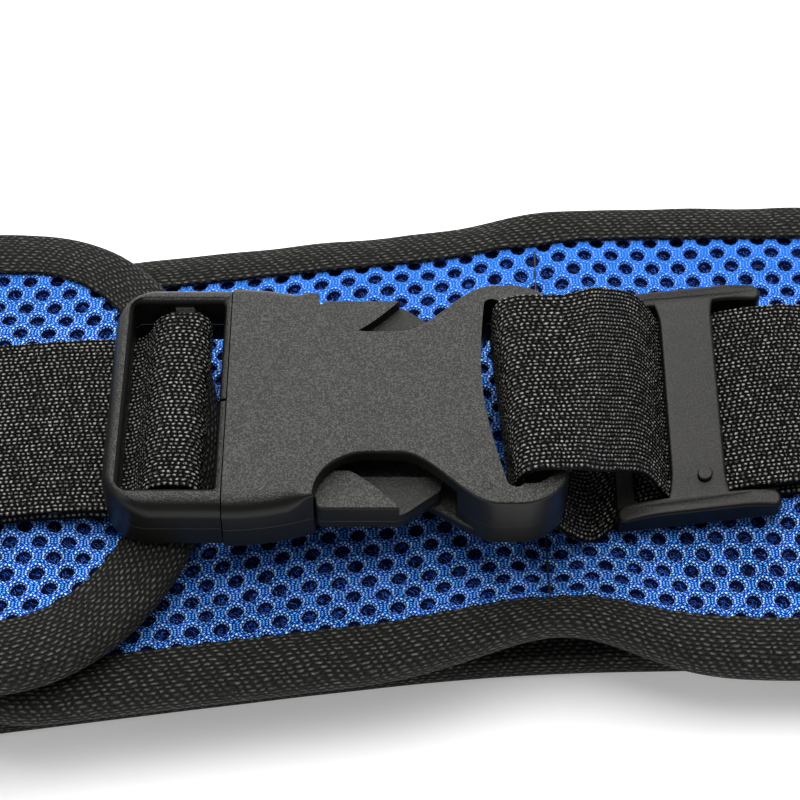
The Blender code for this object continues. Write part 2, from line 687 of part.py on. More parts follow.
def make_slider():
    # Ladder of three bars between two rails, lying on the sewn strap along the strap's slope
    left = SLIDER_X - SLIDER_LONG / 2
    right = SLIDER_X + SLIDER_LONG / 2
    inner = SLIDER_HALF - SLIDER_END
    inset = SLIDER_END / 4
    span = (-inner - inset, inner + inset)
    high = SLIDER_Z + SLIDER_HIGH
    rails = []
    for near, far in ((-SLIDER_HALF, -inner), (inner, SLIDER_HALF)):
        outline = rounded_outline((left, right), (near, far), SLIDER_ROUND, SLIDER_ROUND)
        rails.append(prism("tri_glide", outline, SLIDER_Z, high))
    slider, *parts = rails
    side = (SLIDER_Z + inset / 4, SLIDER_Z + SIDE_HIGH)
    ease = SIDE_HIGH / 3
    parts.append(bar("left", (left + inset / 4, left + SLIDER_SIDE), span, side, ease))
    parts.append(bar("right", (right - SLIDER_SIDE, right - inset / 4), span, side, ease))
    centre_x = (SLIDER_X - SLIDER_CENTRE / 2, SLIDER_X + SLIDER_CENTRE / 2)
    parts.append(bar("centre", centre_x, span, (SLIDER_Z + CENTRE_LOW, SLIDER_Z + CENTRE_HIGH), ease))
    combine(slider, parts, "UNION")
    for vertex in slider.data.vertices:
        vertex.co.y += strap_line(vertex.co.x)
        vertex.co.z += tilt_rise(TILT_TO, vertex.co.y)
    pivot_at(slider, (SLIDER_X, strap_line(SLIDER_X), SLIDER_Z))


make_back_band()
make_turns()
make_right_band()
make_left_band()
make_left_strap()
make_right_strap()
make_socket()
make_plug()
make_prong("prong_front", -1)
make_prong("prong_rear", 1)
make_slider()
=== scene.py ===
import math

import bmesh
import bpy
import numpy as np
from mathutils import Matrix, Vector


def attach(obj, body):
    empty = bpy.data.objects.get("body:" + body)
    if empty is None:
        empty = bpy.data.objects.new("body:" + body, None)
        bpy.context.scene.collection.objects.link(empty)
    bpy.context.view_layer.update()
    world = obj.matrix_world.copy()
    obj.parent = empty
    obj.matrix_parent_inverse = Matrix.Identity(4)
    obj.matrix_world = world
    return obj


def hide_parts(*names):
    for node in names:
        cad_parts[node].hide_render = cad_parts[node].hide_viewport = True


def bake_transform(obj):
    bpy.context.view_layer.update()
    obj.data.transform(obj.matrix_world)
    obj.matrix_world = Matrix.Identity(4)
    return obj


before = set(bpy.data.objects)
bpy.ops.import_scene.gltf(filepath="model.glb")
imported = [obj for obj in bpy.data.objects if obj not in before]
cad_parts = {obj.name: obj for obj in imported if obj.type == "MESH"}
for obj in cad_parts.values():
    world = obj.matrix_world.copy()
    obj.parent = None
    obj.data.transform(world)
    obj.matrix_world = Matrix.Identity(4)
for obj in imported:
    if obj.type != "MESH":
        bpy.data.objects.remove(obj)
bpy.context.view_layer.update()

# A padded gait belt, fastened and laid flat as a loop.
# Sizes are in millimetres and become metres when a mesh is made; +X runs from plug to socket, +Y to the rear.
mm = 0.001
chance = np.random.default_rng(7)


# Shader maths and materials

class Wire:
    # A shader value: arithmetic on it adds Math nodes

    def __init__(self, stuff, socket):
        self.stuff = stuff
        self.socket = socket

    def calc(self, kind, other=None, swapped=False):
        # One Math node, with the two values the other way round where swapped
        first, second = (other, self) if swapped else (self, other)
        return self.stuff.node("Math", {"operation": kind}, {0: first, 1: second})

    def __add__(self, other):
        return self.calc("ADD", other)

    def __sub__(self, other):
        return self.calc("SUBTRACT", other)

    def __rsub__(self, other):
        return self.calc("SUBTRACT", other, swapped=True)

    def __mul__(self, other):
        return self.calc("MULTIPLY", other)

    def __truediv__(self, other):
        return self.calc("DIVIDE", other)

    def __pow__(self, other):
        return self.calc("POWER", other)

    def __abs__(self):
        return self.calc("ABSOLUTE")

    __radd__ = __add__
    __rmul__ = __mul__

    def sin(self):
        return self.calc("SINE")

    def floor(self):
        return self.calc("FLOOR")

    def fract(self):
        return self.calc("FRACT")

    def above(self, edge, width):
        # A soft step: 0 below the edge, 1 above it, over the given width
        span = {"From Min": edge - width / 2, "From Max": edge + width / 2}
        return self.stuff.node("MapRange", {"interpolation_type": "SMOOTHSTEP"}, {"Value": self, **span})


class Stuff:
    # One material; node() adds any node, its settings first and then the values or links of its sockets

    def __init__(self, name, **constants):
        self.material = bpy.data.materials.new(name)
        self.material.use_nodes = True
        self.tree = self.material.node_tree
        self.shader = self.tree.nodes["Principled BSDF"]
        for socket, value in constants.items():
            self.shader.inputs[socket.replace("_", " ")].default_value = value

    def node(self, kind, settings=None, sockets=None, out=0):
        made = self.tree.nodes.new("ShaderNode" + kind)
        for name, value in (settings or {}).items():
            if name == "stops":
                for stop, (place, colour) in zip(self.stopsOf(made, len(value)), value):
                    stop.position = place
                    stop.color = (*colour, 1.0)
            else:
                setattr(made, name, value)
        for name, value in (sockets or {}).items():
            if isinstance(value, Wire):
                self.tree.links.new(value.socket, made.inputs[name])
            elif value is not None:
                made.inputs[name].default_value = value
        return Wire(self, made.outputs[out])

    def stopsOf(self, ramp, count):
        # A new ramp has two stops, and gets more up to the count
        stops = ramp.color_ramp.elements
        while len(stops) < count:
            stops.new(0.5)
        return stops

    def place(self):
        # Object coordinates, in metres
        return self.node("TexCoord", out=3)

    def uv(self):
        # The two numbers of the piece's own UV map
        return self.axes(self.node("TexCoord", out=2))[:2]

    def axes(self, wire):
        # The three numbers of a vector
        split = self.node("SeparateXYZ", {}, {0: wire})
        return [Wire(self, socket) for socket in split.socket.node.outputs]

    def noise(self, scale, detail=2.0):
        return self.node("TexNoise", {}, {"Vector": self.place(), "Scale": scale, "Detail": detail})

    def ramp(self, wire, *stops):
        return self.node("ValToRGB", {"stops": stops}, {"Fac": wire})

    def blend(self, share, first, second):
        # Two colours mixed by a share
        ends = [value if isinstance(value, Wire) else (*value, 1.0) for value in (first, second)]
        return self.node("Mix", {"data_type": "RGBA"}, {0: share, 6: ends[0], 7: ends[1]}, out=2)

    def feed(self, socket, wire):
        self.tree.links.new(wire.socket, self.shader.inputs[socket])

    def relief(self, wire, depth):
        # Bump from a height of 0 to 1 that stands for the given depth in millimetres
        bump = self.node("Bump", {}, {"Height": wire, "Distance": depth * mm, "Strength": 1.0})
        self.feed("Normal", bump)


def netStuff():
    # Yarn of the spacer mesh: UV holds the turn round a hole and the way out from its rim, so two strands run
    # round every hole and each is a chain of small V stitches; the colour paints highlights on the stitches
    # and round the holes' rims, painted shade between the stitches and down the holes' walls, and towards the
    # rear edge a calmer, brighter blue painted in for the light from behind
    look = dict(strands=2.0, stitches=17.0, lean=0.9, relief=0.34, rearFrom=50.0, rearLong=50.0,
                rearShare=0.60)
    stuff = Stuff("spacerYarn", Roughness=0.6, Specular_IOR_Level=0.12)
    turn, out = stuff.uv()
    lane = out * look["strands"]
    cell = lane.fract()
    fuzz = stuff.noise(700.0, 2.0)
    chain = turn * look["stitches"] + abs(cell - 0.5) * look["lean"] + lane.floor() * 0.5 + (fuzz - 0.5) * 0.5
    stitch = ((chain * (2 * math.pi)).sin() * 0.5 + 0.5).above(0.48, 0.5)
    strand = (cell * math.pi).sin()
    rim = 1 - out.above(0.5, 0.4)
    light = strand * (0.16 + 0.84 * stitch)
    patch = stuff.noise(130.0, 3.0)
    shade = light * (0.76 + 0.42 * rim) + (patch - 0.5) * 0.40
    # painted highlights on the stitches' tops and round the holes' rims, painted shade in the gaps between
    # stitches
    yarn = stuff.ramp(shade, (0.06, (0.0002, 0.003, 0.090)), (0.24, (0.001, 0.045, 0.66)),
                      (0.43, (0.008, 0.200, 1.0)), (0.66, (0.08, 0.50, 1.0)), (0.92, (0.60, 0.92, 1.0)))
    # painted light: towards the rear edge the yarn is blended to a brighter, calmer blue
    rear = stuff.axes(stuff.place())[1].above(look["rearFrom"] * mm, look["rearLong"] * mm)
    yarn = stuff.blend(rear * look["rearShare"], yarn, (0.022, 0.22, 1.0))
    # painted shade: the walls down into the holes turn near-black navy
    wall = 1 - out.above(-0.30, 0.5)
    stuff.feed("Base Color", stuff.blend(wall, yarn, (0.001, 0.006, 0.060)))
    stuff.relief(light, look["relief"])
    return stuff.material


def padStuff():
    # Inside of the spacer mesh: near-black navy crossed by a few fine light filaments
    stuff = Stuff("spacerInside", Roughness=0.8, Specular_IOR_Level=0.05)
    lines = stuff.node("TexWave", {"wave_type": "BANDS", "bands_direction": "DIAGONAL"},
                       {"Vector": stuff.place(), "Scale": 520.0, "Distortion": 14.0, "Detail": 2.0,
                        "Detail Scale": 1.3})
    hair = lines.above(0.88, 0.16) * stuff.noise(700.0).above(0.46, 0.2)
    stuff.feed("Base Color", stuff.blend(hair, (0.0004, 0.0016, 0.016), (0.03, 0.11, 0.50)))
    return stuff.material


def clothStuff():
    # Inner cloth: a fine plain weave in black, the product of a sine along and a sine across
    pitch, relief = 0.9, 0.12
    stuff = Stuff("liningCloth", Roughness=0.85, Sheen_Weight=0.15)
    x, y, _ = stuff.axes(stuff.place())
    turn = 2 * math.pi / (pitch * mm)
    weave = (x * turn).sin() * (y * turn).sin() * 0.5 + 0.5
    stuff.feed("Base Color", stuff.blend(weave, (0.006, 0.006, 0.007), (0.022, 0.022, 0.024)))
    stuff.relief(weave, relief)
    return stuff.material


def tapeStuff():
    # Twill tape: UV is millimetres along and across; floats of yarn lie in rows, each shifted on the next;
    # the floats' crowns get painted highlights and the gaps between them painted shade, besides light flecks
    # and wear
    look = dict(row=1.0, floatLong=2.2, shift=0.37, relief=0.55)
    stuff = Stuff("twillTape", Roughness=0.8, Specular_IOR_Level=0.2)
    along, across = stuff.uv()
    drift = stuff.noise(210.0, 1.0)
    shake = stuff.noise(330.0, 1.0)
    lane = across / look["row"] + (drift - 0.5) * 1.0
    dash = along / look["floatLong"] + lane.floor() * look["shift"] + (shake - 0.5) * 1.3
    yarn = (lane.fract() * math.pi).sin() * (dash.fract() * math.pi).sin()
    fleck = stuff.noise(1700.0, 2.0)
    worn = stuff.noise(420.0, 2.0)
    # painted highlight on the floats' crowns and painted shade between them, with flecks and wear mixed in
    shade = yarn * (0.10 + 0.75 * fleck + 0.62 * worn) + (fleck - 0.5) * 0.45
    stuff.feed("Base Color", stuff.ramp(shade, (0.03, (0.0022, 0.0022, 0.0020)),
                                        (0.50, (0.0120, 0.0118, 0.0100)), (1.0, (0.120, 0.118, 0.100))))
    stuff.relief(yarn + (fleck - 0.5) * 0.5, look["relief"])
    return stuff.material


def webbingStuff():
    # Webbing: UV is millimetres along and across; a bump of yarn in every beat of every lane, each second
    # pair of lanes half a beat on as in the mesh's own relief, shifted by a slow noise; painted glints on the
    # bumps' tops and painted shade, black, in between
    look = dict(driftAlong=0.9, driftAcross=0.45, relief=0.50)
    stuff = Stuff("blackWebbing", Roughness=0.5, Specular_IOR_Level=0.10)
    along, across = stuff.uv()
    drift = stuff.noise(380.0, 1.0) - 0.5
    lane = across / web["lane"]
    phase = (along / web["beat"] + (lane / 2).floor() * 0.5 + drift * look["driftAlong"]).fract()
    bump = 1 - abs(phase * 2 - 1) ** web["flatness"]
    ridge = 1 - abs((lane + drift * look["driftAcross"]).fract() * 2 - 1) ** web["flatness"]
    yarn = ridge * (0.26 + 0.74 * bump)
    fleck = stuff.noise(1900.0, 2.0)
    # painted glints on the yarn's tops and painted shade, near black, between the bumps
    shade = yarn * (0.22 + 0.98 * fleck) + (fleck - 0.5) * 0.30
    stuff.feed("Base Color", stuff.ramp(shade, (0.34, (0.0005, 0.0005, 0.0006)),
                                        (0.57, (0.018, 0.0176, 0.0163)), (0.84, (0.29, 0.285, 0.255))))
    stuff.relief(yarn, look["relief"])
    return stuff.material


def plasticStuff(name, grain, colour, rough, marks=(), parting=None, sunk=None):
    # Moulded plastic: grain on the faces that look up or down, smoother side walls, small round pin marks,
    # a fine raised line where the two halves of the mould met; the faces that look up or down are painted
    # lighter and the side walls painted in shade, and below a sunk level the faces get painted shade
    look = dict(fine=3000.0, broad=60.0, relief=0.20, markLine=0.16, markSoft=0.20, partLine=0.12,
                partSoft=0.16, sunkShadeSoft=0.6, wallShade=0.08)
    stuff = Stuff(name, IOR=1.5, Specular_IOR_Level=0.22)
    x, y, z = stuff.axes(stuff.place())
    facing = stuff.axes(stuff.node("TexCoord", out=1))[2]
    flat = abs(facing).above(0.80, 0.3)
    fine = stuff.noise(look["fine"], 2.0)
    broad = stuff.noise(look["broad"], 3.0)
    height = fine * (flat * grain + 0.04)
    for markX, markY, radius in marks:
        away = ((x - markX * mm) ** 2 + (y - markY * mm) ** 2) ** 0.5
        ring = 1 - abs(away - radius * mm).above(look["markLine"] * mm, look["markSoft"] * mm)
        height = height - ring * flat * 0.9
    if parting:
        line = (1 - abs(z - parting * mm).above(look["partLine"] * mm, look["partSoft"] * mm)) * (1 - flat)
        height = height + line * 1.2
    stuff.relief(height, look["relief"])
    # painted shade: the side walls take only a small share of the colour
    wallShade = tuple(look["wallShade"] * value for value in colour)
    speck = 0.12 + 0.88 * fine.above(0.53, 0.20)
    mottleAndShade = 0.60 + 0.8 * broad
    # painted shade: below the sunk level the colour darkens, where the tab's shelf lies under the socket's
    # arch
    if sunk:
        mottleAndShade = mottleAndShade * (0.38 + 0.62 * z.above(sunk * mm, look["sunkShadeSoft"] * mm))
    # the faces that look up or down get the lighter colour: painted light on the tops, painted shade on the
    # walls
    stuff.feed("Base Color", stuff.blend(speck * flat * mottleAndShade * min(grain + 0.45, 1.0), wallShade, colour))
    stuff.feed("Roughness", rough + 0.16 * flat + (broad - 0.5) * 0.10)
    return stuff.material


def threadStuff(name, colour):
    # Sewing thread: a diagonal twist, a sine of the sum of the three coordinates
    pitch = 0.5
    stuff = Stuff(name, Roughness=0.6)
    x, y, z = stuff.axes(stuff.place())
    twist = ((x + y + z) * (2 * math.pi / (pitch * mm))).sin() * 0.5 + 0.5
    stuff.feed("Base Color", stuff.blend(twist, tuple(0.4 * value for value in colour), colour))
    return stuff.material


# Mesh helpers

def smooth(t):
    # Smooth step: t squared times (3 - 2t), held from 0 to 1
    t = np.clip(t, 0.0, 1.0)
    return t * t * (3 - 2 * t)


def mix(start, end, share):
    # Straight blend: the start plus the share of the difference
    return start + (end - start) * share


def gridFaces(rows, columns, closed=False):
    # Quads between neighbouring rows and columns; a closed grid joins its last column to its first
    i, j = np.meshgrid(np.arange(rows - 1), np.arange(columns if closed else columns - 1), indexing="ij")
    after = (j + 1) % columns
    quads = [i * columns + j, i * columns + after, (i + 1) * columns + after, (i + 1) * columns + j]
    return np.stack(quads, -1).reshape(-1, 4)


def newObject(name, data):
    # An object at the origin, in the scene
    made = bpy.data.objects.new(name, data)
    bpy.context.scene.collection.objects.link(made)
    return made


def plainMesh(name, points, faces):
    # A mesh object from points in millimetres and rows of corner numbers
    mesh = bpy.data.meshes.new(name)
    mesh.from_pydata((np.asarray(points).reshape(-1, 3) * mm).tolist(), [], [list(face) for face in faces])
    return newObject(name, mesh)


def tube(name, rings, flip=False):
    # Rings of points joined by quads, each ring to the next, and closed by one face at either end
    rows, columns = rings.shape[:2]
    last = (rows - 1) * columns
    faces = gridFaces(rows, columns, closed=True).tolist()
    faces += [list(range(columns))[::-1], list(range(last, last + columns))]
    return plainMesh(name, rings, [face[::-1] for face in faces] if flip else faces)


def runLength(path):
    # Distance along a path at each of its points: the running sum of the steps
    return np.concatenate([[0.0], np.linalg.norm(np.diff(path, axis=0), axis=1).cumsum()])


def paintUv(piece, uv, uvFaces):
    # UV by face corner, from a list of UV points and each face's own numbers in it
    layer = piece.data.uv_layers.new(name="UVMap")
    layer.data.foreach_set("uv", np.asarray(uv, np.float32)[np.asarray(uvFaces).ravel()].ravel())


def tubeUv(piece, along, around):
    # UV of a tube's walls, with one column more than its rings have points; the end faces stay at zero
    uv = np.stack(np.broadcast_arrays(along[:, None], around), -1)
    walls = gridFaces(*uv.shape[:2]).ravel()
    corners = np.zeros((len(piece.data.loops), 2), np.float32)
    corners[:len(walls)] = uv.reshape(-1, 2)[walls]
    piece.data.uv_layers.new(name="UVMap").data.foreach_set("uv", corners.ravel())


def settle(piece, merge=0.0, turn=True):
    # Points closer than the merging distance become one, and the faces of a closed piece turn outwards
    shape = bmesh.new()
    shape.from_mesh(piece.data)
    if merge:
        bmesh.ops.remove_doubles(shape, verts=shape.verts, dist=merge * mm)
    if turn:
        bmesh.ops.recalc_face_normals(shape, faces=shape.faces)
    shape.to_mesh(piece.data)
    shape.free()


def finishPiece(piece, stuff, replaced, sharp=None):
    # Smooth shading, the material, and the solids that the piece stands for hidden
    piece.data.shade_smooth()
    if sharp:
        piece.data.set_sharp_from_angle(angle=math.radians(sharp))
    piece.data.materials.clear()
    piece.data.materials.append(stuff)
    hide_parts(*replaced)
    return piece


def carve(base, tools, operation):
    # Boolean of the tools into the base, after which the tools are removed
    for tool in tools:
        step = base.modifiers.new(tool.name, "BOOLEAN")
        step.operation = operation
        step.solver = "EXACT"
        step.object = tool
    seen = base.evaluated_get(bpy.context.evaluated_depsgraph_get())
    shaped = bpy.data.meshes.new_from_object(seen)
    base.modifiers.clear()
    base.data = shaped
    for tool in tools:
        bpy.data.objects.remove(tool)


def crisp(piece):
    # Large flat faces keep flat shading beside rounded edges
    step = piece.modifiers.new("flatFaces", "WEIGHTED_NORMAL")
    step.keep_sharp = True
    step.weight = 80


# Camera, light and floor

view = dict(target=(0.0, -2.4, 57.0), elevation=50.0, distance=526.0, lens=108.0, sensor=36.0, nearest=0.01)


def makeCamera():
    # The camera looks along +Y from the given height angle and distance
    lens = bpy.data.cameras.new("camera")
    lens.lens = view["lens"]
    lens.sensor_width = view["sensor"]
    lens.clip_start = view["nearest"]
    camera = newObject("camera", lens)
    rise = math.radians(view["elevation"])
    target = Vector(view["target"]) * mm
    away = Vector((0.0, -math.cos(rise), math.sin(rise))) * view["distance"] * mm
    camera.location = target + away
    camera.rotation_euler = away.to_track_quat("Z", "Y").to_euler()
    bpy.context.scene.camera = camera


lamps = {
    "rearSoftbox": dict(place=(-0.12, 0.85, 1.00), aim=(0.0, 0.0, 0.03), size=1.1, power=20.0),
    "topSoftbox": dict(place=(0.10, -0.05, 1.30), aim=(0.0, 0.0, 0.03), size=0.9, power=15.0),
    "leftFill": dict(place=(-1.0, -0.5, 0.6), aim=(0.0, 0.0, 0.03), size=0.6, power=3.0),
}
studio = dict(world=0.22, floorReach=3000.0, floorDrop=0.4, floorGlow=0.26)


def makeLights():
    # Area lamps that face their aims, and an even white world
    for name, lamp in lamps.items():
        light = bpy.data.lights.new(name, "AREA")
        light.size = lamp["size"]
        light.energy = lamp["power"]
        made = newObject(name, light)
        made.location = lamp["place"]
        away = Vector(lamp["place"]) - Vector(lamp["aim"])
        made.rotation_euler = away.to_track_quat("Z", "Y").to_euler()
    world = bpy.data.worlds.new("studio")
    bpy.context.scene.world = world
    world.use_nodes = True
    world.node_tree.nodes["Background"].inputs["Color"].default_value = (1.0, 1.0, 1.0, 1.0)
    world.node_tree.nodes["Background"].inputs["Strength"].default_value = studio["world"]
    bpy.context.scene.view_settings.view_transform = "Standard"


def makeFloor():
    # One square a little below the belt, pale and slightly glowing
    reach, z = studio["floorReach"], -studio["floorDrop"]
    corners = [(-reach, -reach, z), (reach, -reach, z), (reach, reach, z), (-reach, reach, z)]
    floor = plainMesh("floor", corners, [(0, 1, 2, 3)])
    stuff = Stuff("paleFloor", Roughness=0.9, Specular_IOR_Level=0.1, Emission_Color=(1.0, 1.0, 1.0, 1.0),
                  Emission_Strength=studio["floorGlow"])
    stuff.feed("Base Color", stuff.blend(stuff.noise(3.0), (0.90, 0.90, 0.90), (0.94, 0.94, 0.94)))
    floor.data.materials.append(stuff.material)


makeCamera()
makeLights()
makeFloor()
print("stage: camera, lights and floor")


# Padded band: five runs, each a surface over s (along the belt), v (across) and n (out from its inner side)

belt = dict(half=63.0, cover=2.2, foam=6.0, leftFoam=4.2, foamEdge=0.8, lining=1.2, gap=0.3, edgeRise=1.4,
            tapeWide=12.0, tape=0.9, innerRing=24.0, loopGap=11.0, turnX=215.0, rightTip=-120.0,
            leftTip=-43.0, endLong=45.0, leftY=0.4, bendY=16.0, bendX=25.0, bendSlope=0.15, bendRound=30.0,
            backShift=13.0, tilt=math.tan(math.radians(5.0)), tiltFrom=5.0, tiltTo=40.0,
            seamX=33.0, seamWide=6.0, seamDeep=0.60, hump=8.0, humpPull=6.0, humpX=36.0, humpWide=22.0,
            slabInset=0.4, slabStep=4.0, slabAcross=41, padSink=0.25, padLeast=0.3, tipSteps=24,
            tipShare=0.985)
full = belt["lining"] + belt["foam"] + belt["cover"] + 2 * belt["gap"]
leftFull = full - belt["foam"] + belt["leftFoam"]
rightZ = full + belt["loopGap"]
rightTop = rightZ + full
leftZ = rightTop + 2 * belt["gap"] + belt["tape"]
leftTop = leftZ + leftFull + belt["tape"]
turnOut = belt["loopGap"] / 2 + full              # outer radius of the right turn
leftRadius = (leftZ - full) / 2
leftOut = leftRadius + (full + leftFull) / 2      # outer radius of the left turn
turnStart = belt["turnX"]
backStart = turnStart + math.pi * turnOut
leftTurnStart = backStart + 2 * belt["turnX"]
leftStart = leftTurnStart + math.pi * leftOut


def centreLine(x):
    # Middle of the band in plan: a hyperbola that slopes left of the bend and is level right of it
    away = x - belt["bendX"]
    return belt["bendY"] - belt["bendSlope"] * (np.hypot(away, belt["bendRound"]) - away) / 2


def tiltRise(x, y):
    # Rise of the tilted stretch: smooth step along x times the slope across
    share = smooth((x - belt["tiltFrom"]) / (belt["tiltTo"] - belt["tiltFrom"]))
    return share * belt["tilt"] * (y - belt["bendY"])


def humpShare(x, v):
    # Share in the hump beside the seam: a bell along x times the cube of the way to the front edge
    front = np.maximum(-v / belt["half"], 0.0)
    return front ** 3 * np.exp(-((x - belt["humpX"]) / belt["humpWide"]) ** 2)


def placeRight(s, v, n):
    # Level along X, with the tilt and the hump added to its height and the hump's pull to its place across
    share = humpShare(s, v)
    y = centreLine(s) + v + belt["humpPull"] * share
    z = rightZ + n + tiltRise(s, y) + belt["hump"] * share
    return np.stack([s + 0 * v, y, z], -1)


def placeRightTurn(s, v, n):
    # Half a turn about an axis along Y, from the top of the loop to its back
    angle = math.pi / 2 - (s - turnStart) / turnOut
    share = 0.5 - angle / math.pi
    y = centreLine(belt["turnX"]) + belt["backShift"] * share + v
    reach = belt["loopGap"] / 2 + n
    lift = (1 - share) * tiltRise(belt["turnX"], y)
    z = full + belt["loopGap"] / 2 + reach * np.sin(angle) + lift
    return np.stack([belt["turnX"] + reach * np.cos(angle), y, z], -1)


def placeBack(s, v, n):
    # Level along X from right to left, with its outer side below
    x = belt["turnX"] - (s - backStart)
    return np.stack([x + 0 * v, centreLine(x) + belt["backShift"] + v, full - n], -1)


def placeLeftTurn(s, v, n):
    # Half a turn about an axis along Y, from the back of the loop to its top
    angle = 1.5 * math.pi - (s - leftTurnStart) / leftOut
    share = 1.5 - angle / math.pi
    y = mix(centreLine(-belt["turnX"]) + belt["backShift"], belt["leftY"], share) + v
    reach = leftRadius + n
    z = full + leftRadius + reach * np.sin(angle)
    return np.stack([-belt["turnX"] + reach * np.cos(angle), y, z], -1)


def placeLeft(s, v, n):
    # Level along X, from left to right
    x = s - leftStart - belt["turnX"]
    return np.stack([x + 0 * v, belt["leftY"] + v, leftZ + n], -1)


def seamFoam(s):
    # Foam pressed down in a bell-shaped valley at the quilting seam
    return belt["foam"] * (1 - belt["seamDeep"] * np.exp(-((s - belt["seamX"]) / belt["seamWide"]) ** 2))


def turnShare(start, length):
    # A function of s: how far along the turn it is, from 0 to 1
    return lambda s: np.clip((s - start) / length, 0.0, 1.0)


rightShare = turnShare(turnStart, math.pi * turnOut)
leftShare = turnShare(leftTurnStart, math.pi * leftOut)
leftMiddle = leftStart + belt["turnX"] + belt["leftTip"] - belt["endLong"]
runs = {
    "right": dict(place=placeRight, foam=seamFoam, outward=lambda s: 1.0 + 0 * s, start=belt["rightTip"],
                  end=turnStart, facing=-1.0, middle=belt["rightTip"] + belt["endLong"], body="belt"),
    "right_turn": dict(place=placeRightTurn, foam=lambda s: belt["foam"] + 0 * s,
                       outward=lambda s: 1 - rightShare(s), start=turnStart, end=backStart, facing=0.0,
                       middle=0.0, body="belt"),
    "back": dict(place=placeBack, foam=lambda s: belt["foam"] + 0 * s, outward=lambda s: 0 * s,
                 start=backStart, end=leftTurnStart, facing=0.0, middle=0.0, body="belt"),
    "left_turn": dict(place=placeLeftTurn, foam=lambda s: mix(belt["foam"], belt["leftFoam"], leftShare(s)),
                      outward=leftShare, start=leftTurnStart, end=leftStart, facing=0.0, middle=0.0,
                      body="turn"),
    "left": dict(place=placeLeft, foam=lambda s: belt["leftFoam"] + 0 * s, outward=lambda s: 1.0 + 0 * s,
                 start=leftStart, end=leftMiddle + belt["endLong"], facing=1.0, middle=leftMiddle,
                 body="plug_end"),
}


def nearEdge(run, s, v):
    # 0 in the middle and 1 at the edge: across the band, or the radius of the ellipse in a rounded end;
    # and the plain distance from the middle
    past = np.maximum(run["facing"] * (s - run["middle"]), 0.0)
    return np.hypot(past / belt["endLong"], v / belt["half"]), np.hypot(past, v)


def levels(run, s, v):
    # Heights of the inner cloth's two faces and of the net's outer face: the foam falls to the edge with
    # the square of the nearness, and the flat side is drawn in near the tape
    near = np.minimum(nearEdge(run, s, v)[0], 1.0)
    startAt, fullAt = (1 - belt[word] / belt["half"] for word in ("innerRing", "tapeWide"))
    rise = belt["edgeRise"] * smooth((near - startAt) / (fullAt - startAt))
    foam = run["foam"](s)
    fill = belt["foamEdge"] + (foam - belt["foamEdge"]) * (1 - near ** 2)
    rest = belt["lining"] + belt["cover"] + 2 * belt["gap"]
    low = mix(foam - fill - rise, rise, run["outward"](s))
    return low, low + belt["lining"], low + rest + fill


def rideBand(piece, run):
    # A left turn is baked in place and follows no body; every other run is attached to its body
    if run["body"] == "turn":
        x = -belt["turnX"] * mm
        leftZ * mm
        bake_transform(piece)
    else:
        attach(piece, run["body"])


net = dict(pitch=6.5, row=4.1, holeAlong=1.78, holeAcross=1.95, segments=12, depth=2.2, sway=0.45, margin=4.0,
           swayAlong=(0.05, 0.16), swayAcross=(0.13, 0.06), ridge=0.42, foot=0.93, edgeRise=-0.16,
           ridgeRise=0.10, rimRise=-0.30, weld=0.02)


def makeNet(name, run, stuff):
    # Six-sided tiles on a staggered lattice, each four rings of points: the tile's edge, a ridge, the hole's
    # rim and the foot of its wall. Points are computed for all the tiles at once and laid on the band
    a, b = net["pitch"], net["row"]
    slope = a * a / (8 * b)
    corner = np.array([(0, b / 2 + slope), (-a / 2, b / 2 - slope), (-a / 2, slope - b / 2),
                       (0, -b / 2 - slope), (a / 2, slope - b / 2), (a / 2, b / 2 - slope)])
    edge = np.stack([corner, (corner + np.roll(corner, -1, 0)) / 2], 1).reshape(-1, 2)
    angle = np.arctan2(edge[:, 1], edge[:, 0])
    rim = np.stack([net["holeAlong"] * np.cos(angle), net["holeAcross"] * np.sin(angle)], 1)
    rings = np.stack([edge, mix(rim, edge, net["ridge"]), rim, rim * net["foot"]])
    rise = np.array([net["edgeRise"], net["ridgeRise"], net["rimRise"], -net["depth"]])
    rowCount = int(belt["half"] / b) + 1
    columns = np.arange(math.floor(run["start"] / a) - 1, math.ceil(run["end"] / a) + 2)
    lattice = np.arange(-rowCount, rowCount + 1)
    i, j = np.meshgrid(columns, lattice, indexing="ij")
    s, v = (i + 0.5 * (j % 2)) * a, j * b
    near, reach = nearEdge(run, s, v)
    inside = reach * (1 / np.maximum(near, 1e-6) - 1) > net["margin"]
    keep = (s >= run["start"]) & (s < run["end"]) & ((near < 1e-6) | (inside & (near < 1)))
    centre = np.stack([s[keep], v[keep]], -1)
    spots = centre[:, None, None, :] + rings[None]
    s = spots[..., 0] + net["sway"] * np.sin(spots @ net["swayAlong"])
    v = spots[..., 1] + net["sway"] * np.sin(spots @ net["swayAcross"])
    points = run["place"](s, v, levels(run, s, v)[2] + rise[None, :, None])
    tiles, side = len(centre), net["segments"]
    number = np.arange(tiles)[:, None, None] * 4
    piece = plainMesh(name, points, (number * side + gridFaces(4, side, closed=True)).reshape(-1, 4))
    out = np.array([1.0, net["ridge"], 0.0, -1.0])
    turn = np.arange(side + 1) / side
    phase = chance.random((tiles, 1, 1))
    uv = np.stack([turn + phase + 0 * out[None, :, None], out[:, None] + 0 * turn + 0 * phase], -1)
    paintUv(piece, uv.reshape(-1, 2), (number * (side + 1) + gridFaces(4, side + 1)).reshape(-1, 4))
    settle(piece, merge=net["weld"], turn=False)
    finishPiece(piece, stuff, [name.replace("_net", "_cover")])
    rideBand(piece, run)


def evenSteps(start, end, step):
    # Even places from start to end, at most a step apart
    return np.linspace(start, end, int(abs(start - end) / step) + 2)


